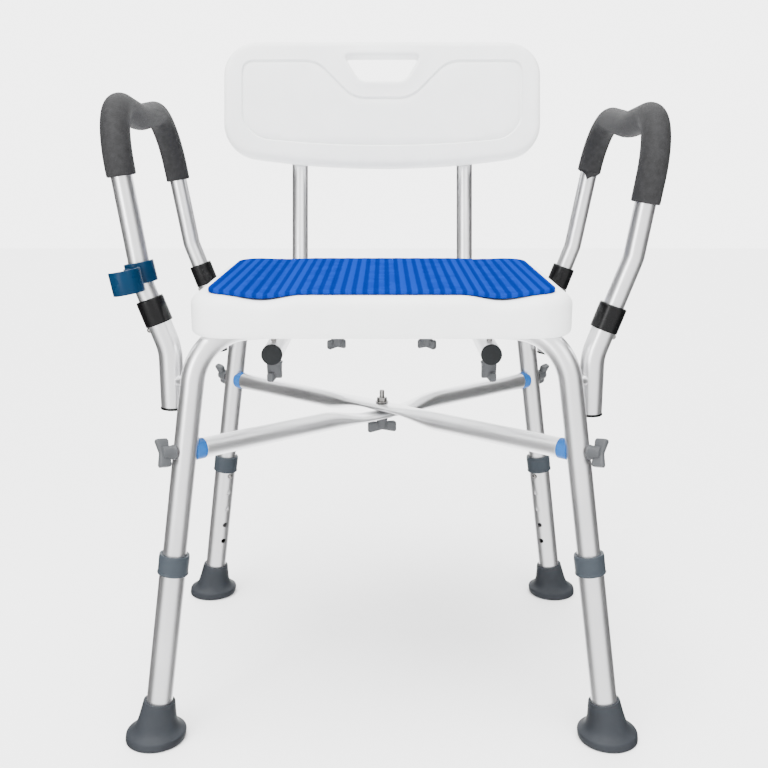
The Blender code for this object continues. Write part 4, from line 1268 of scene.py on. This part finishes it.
def make_world():
    """A bright room, with a dim patch to either side that shades the tubes' edges.

    The patches light and reflect, but aren't seen, so that the background is even all round.
    """
    world = bpy.data.worlds.new("studio")
    world.use_nodes = True
    nodes, links = world.node_tree.nodes, world.node_tree.links
    source = nodes.new("ShaderNodeTexCoord")
    folded = nodes.new("ShaderNodeVectorMath")
    folded.operation = "ABSOLUTE"
    links.new(source.outputs["Generated"], folded.inputs[0])
    split = nodes.new("ShaderNodeSeparateXYZ")
    links.new(source.outputs["Generated"], split.inputs["Vector"])
    side = nodes.new("ShaderNodeSeparateXYZ")
    links.new(folded.outputs["Vector"], side.inputs["Vector"])
    across = math_node(world, "MULTIPLY", side.outputs["X"], math.cos(FLAG_TURN))
    behind = math_node(world, "MULTIPLY", split.outputs["Y"], math.sin(FLAG_TURN))
    toward = math_node(world, "ADD", across, behind)
    room = remap(world, split.outputs["Y"], FRONT_LIGHT, BACK_LIGHT, -0.1, 0.6)
    flag = remap(world, toward, 1.0, FLAG_SHARE, math.cos(FLAG_WIDTH), math.cos(0.7 * FLAG_WIDTH))
    light = math_node(world, "MULTIPLY", room, flag)
    path = nodes.new("ShaderNodeLightPath")
    paler = math_node(world, "SUBTRACT", BACK_LIGHT, light)
    seen = math_node(world, "MULTIPLY", paler, path.outputs["Is Camera Ray"])
    light = math_node(world, "ADD", light, seen)
    background = nodes["Background"]
    background.inputs["Color"].default_value = (1.0, 1.0, 1.0, 1.0)
    links.new(light, background.inputs["Strength"])
    bpy.context.scene.world = world


def make_studio():
    make_world()
    add_area("key", (-1.3, -1.9, 0.9), (0.5, 1.5), 26.0)
    add_area("fill", (1.2, -2.0, 1.6), (1.0, 1.0), 10.0)
    sky = bpy.data.lights.new("ceiling", "SUN")
    sky.energy = CEILING_LIGHT
    sky.angle = math.radians(50.0)
    ceiling = bpy.data.objects.new("ceiling", sky)
    ceiling.rotation_euler = (math.radians(14.0), math.radians(-8.0), 0.0)
    bpy.context.scene.collection.objects.link(ceiling)
    bm = bmesh.new()
    bmesh.ops.create_grid(bm, x_segments=1, y_segments=1, size=6.0)
    mesh = bpy.data.meshes.new("floor")
    bm.to_mesh(mesh)
    bm.free()
    floor = bpy.data.objects.new("floor", mesh)
    look, shader = new_look("floor_paper", (0.95, 0.95, 0.95), 0.85)
    tint(look, shader, noise(look, 3.0), (0.945, 0.945, 0.945), (0.955, 0.955, 0.955))
    mesh.materials.append(look)
    floor.location.z = -0.0002
    floor.visible_glossy = False
    bpy.context.scene.collection.objects.link(floor)


def make_camera():
    lens = bpy.data.cameras.new("camera")
    lens.lens = CAMERA_LENS
    lens.sensor_width = SENSOR
    camera = bpy.data.objects.new("camera", lens)
    camera.location = CAMERA_AT + ORIGIN
    camera.rotation_euler = (0.5 * math.pi - CAMERA_DOWN, 0.0, 0.0)
    bpy.context.scene.collection.objects.link(camera)
    bpy.context.scene.camera = camera


def main():
    make_camera()
    make_studio()
    make_leg_frames()
    for end, side in CORNERS:
        make_leg(end, side)
        make_arm_socket(end, side)
        make_arm_collar(end, side)
        make_buttons(end, side)
    make_wing_bolts()
    make_braces()
    for side in ("left", "right"):
        make_arm(side)
        make_back_tube(side)
    make_clip()
    make_seat()
    make_mat()
    make_panel()


main()
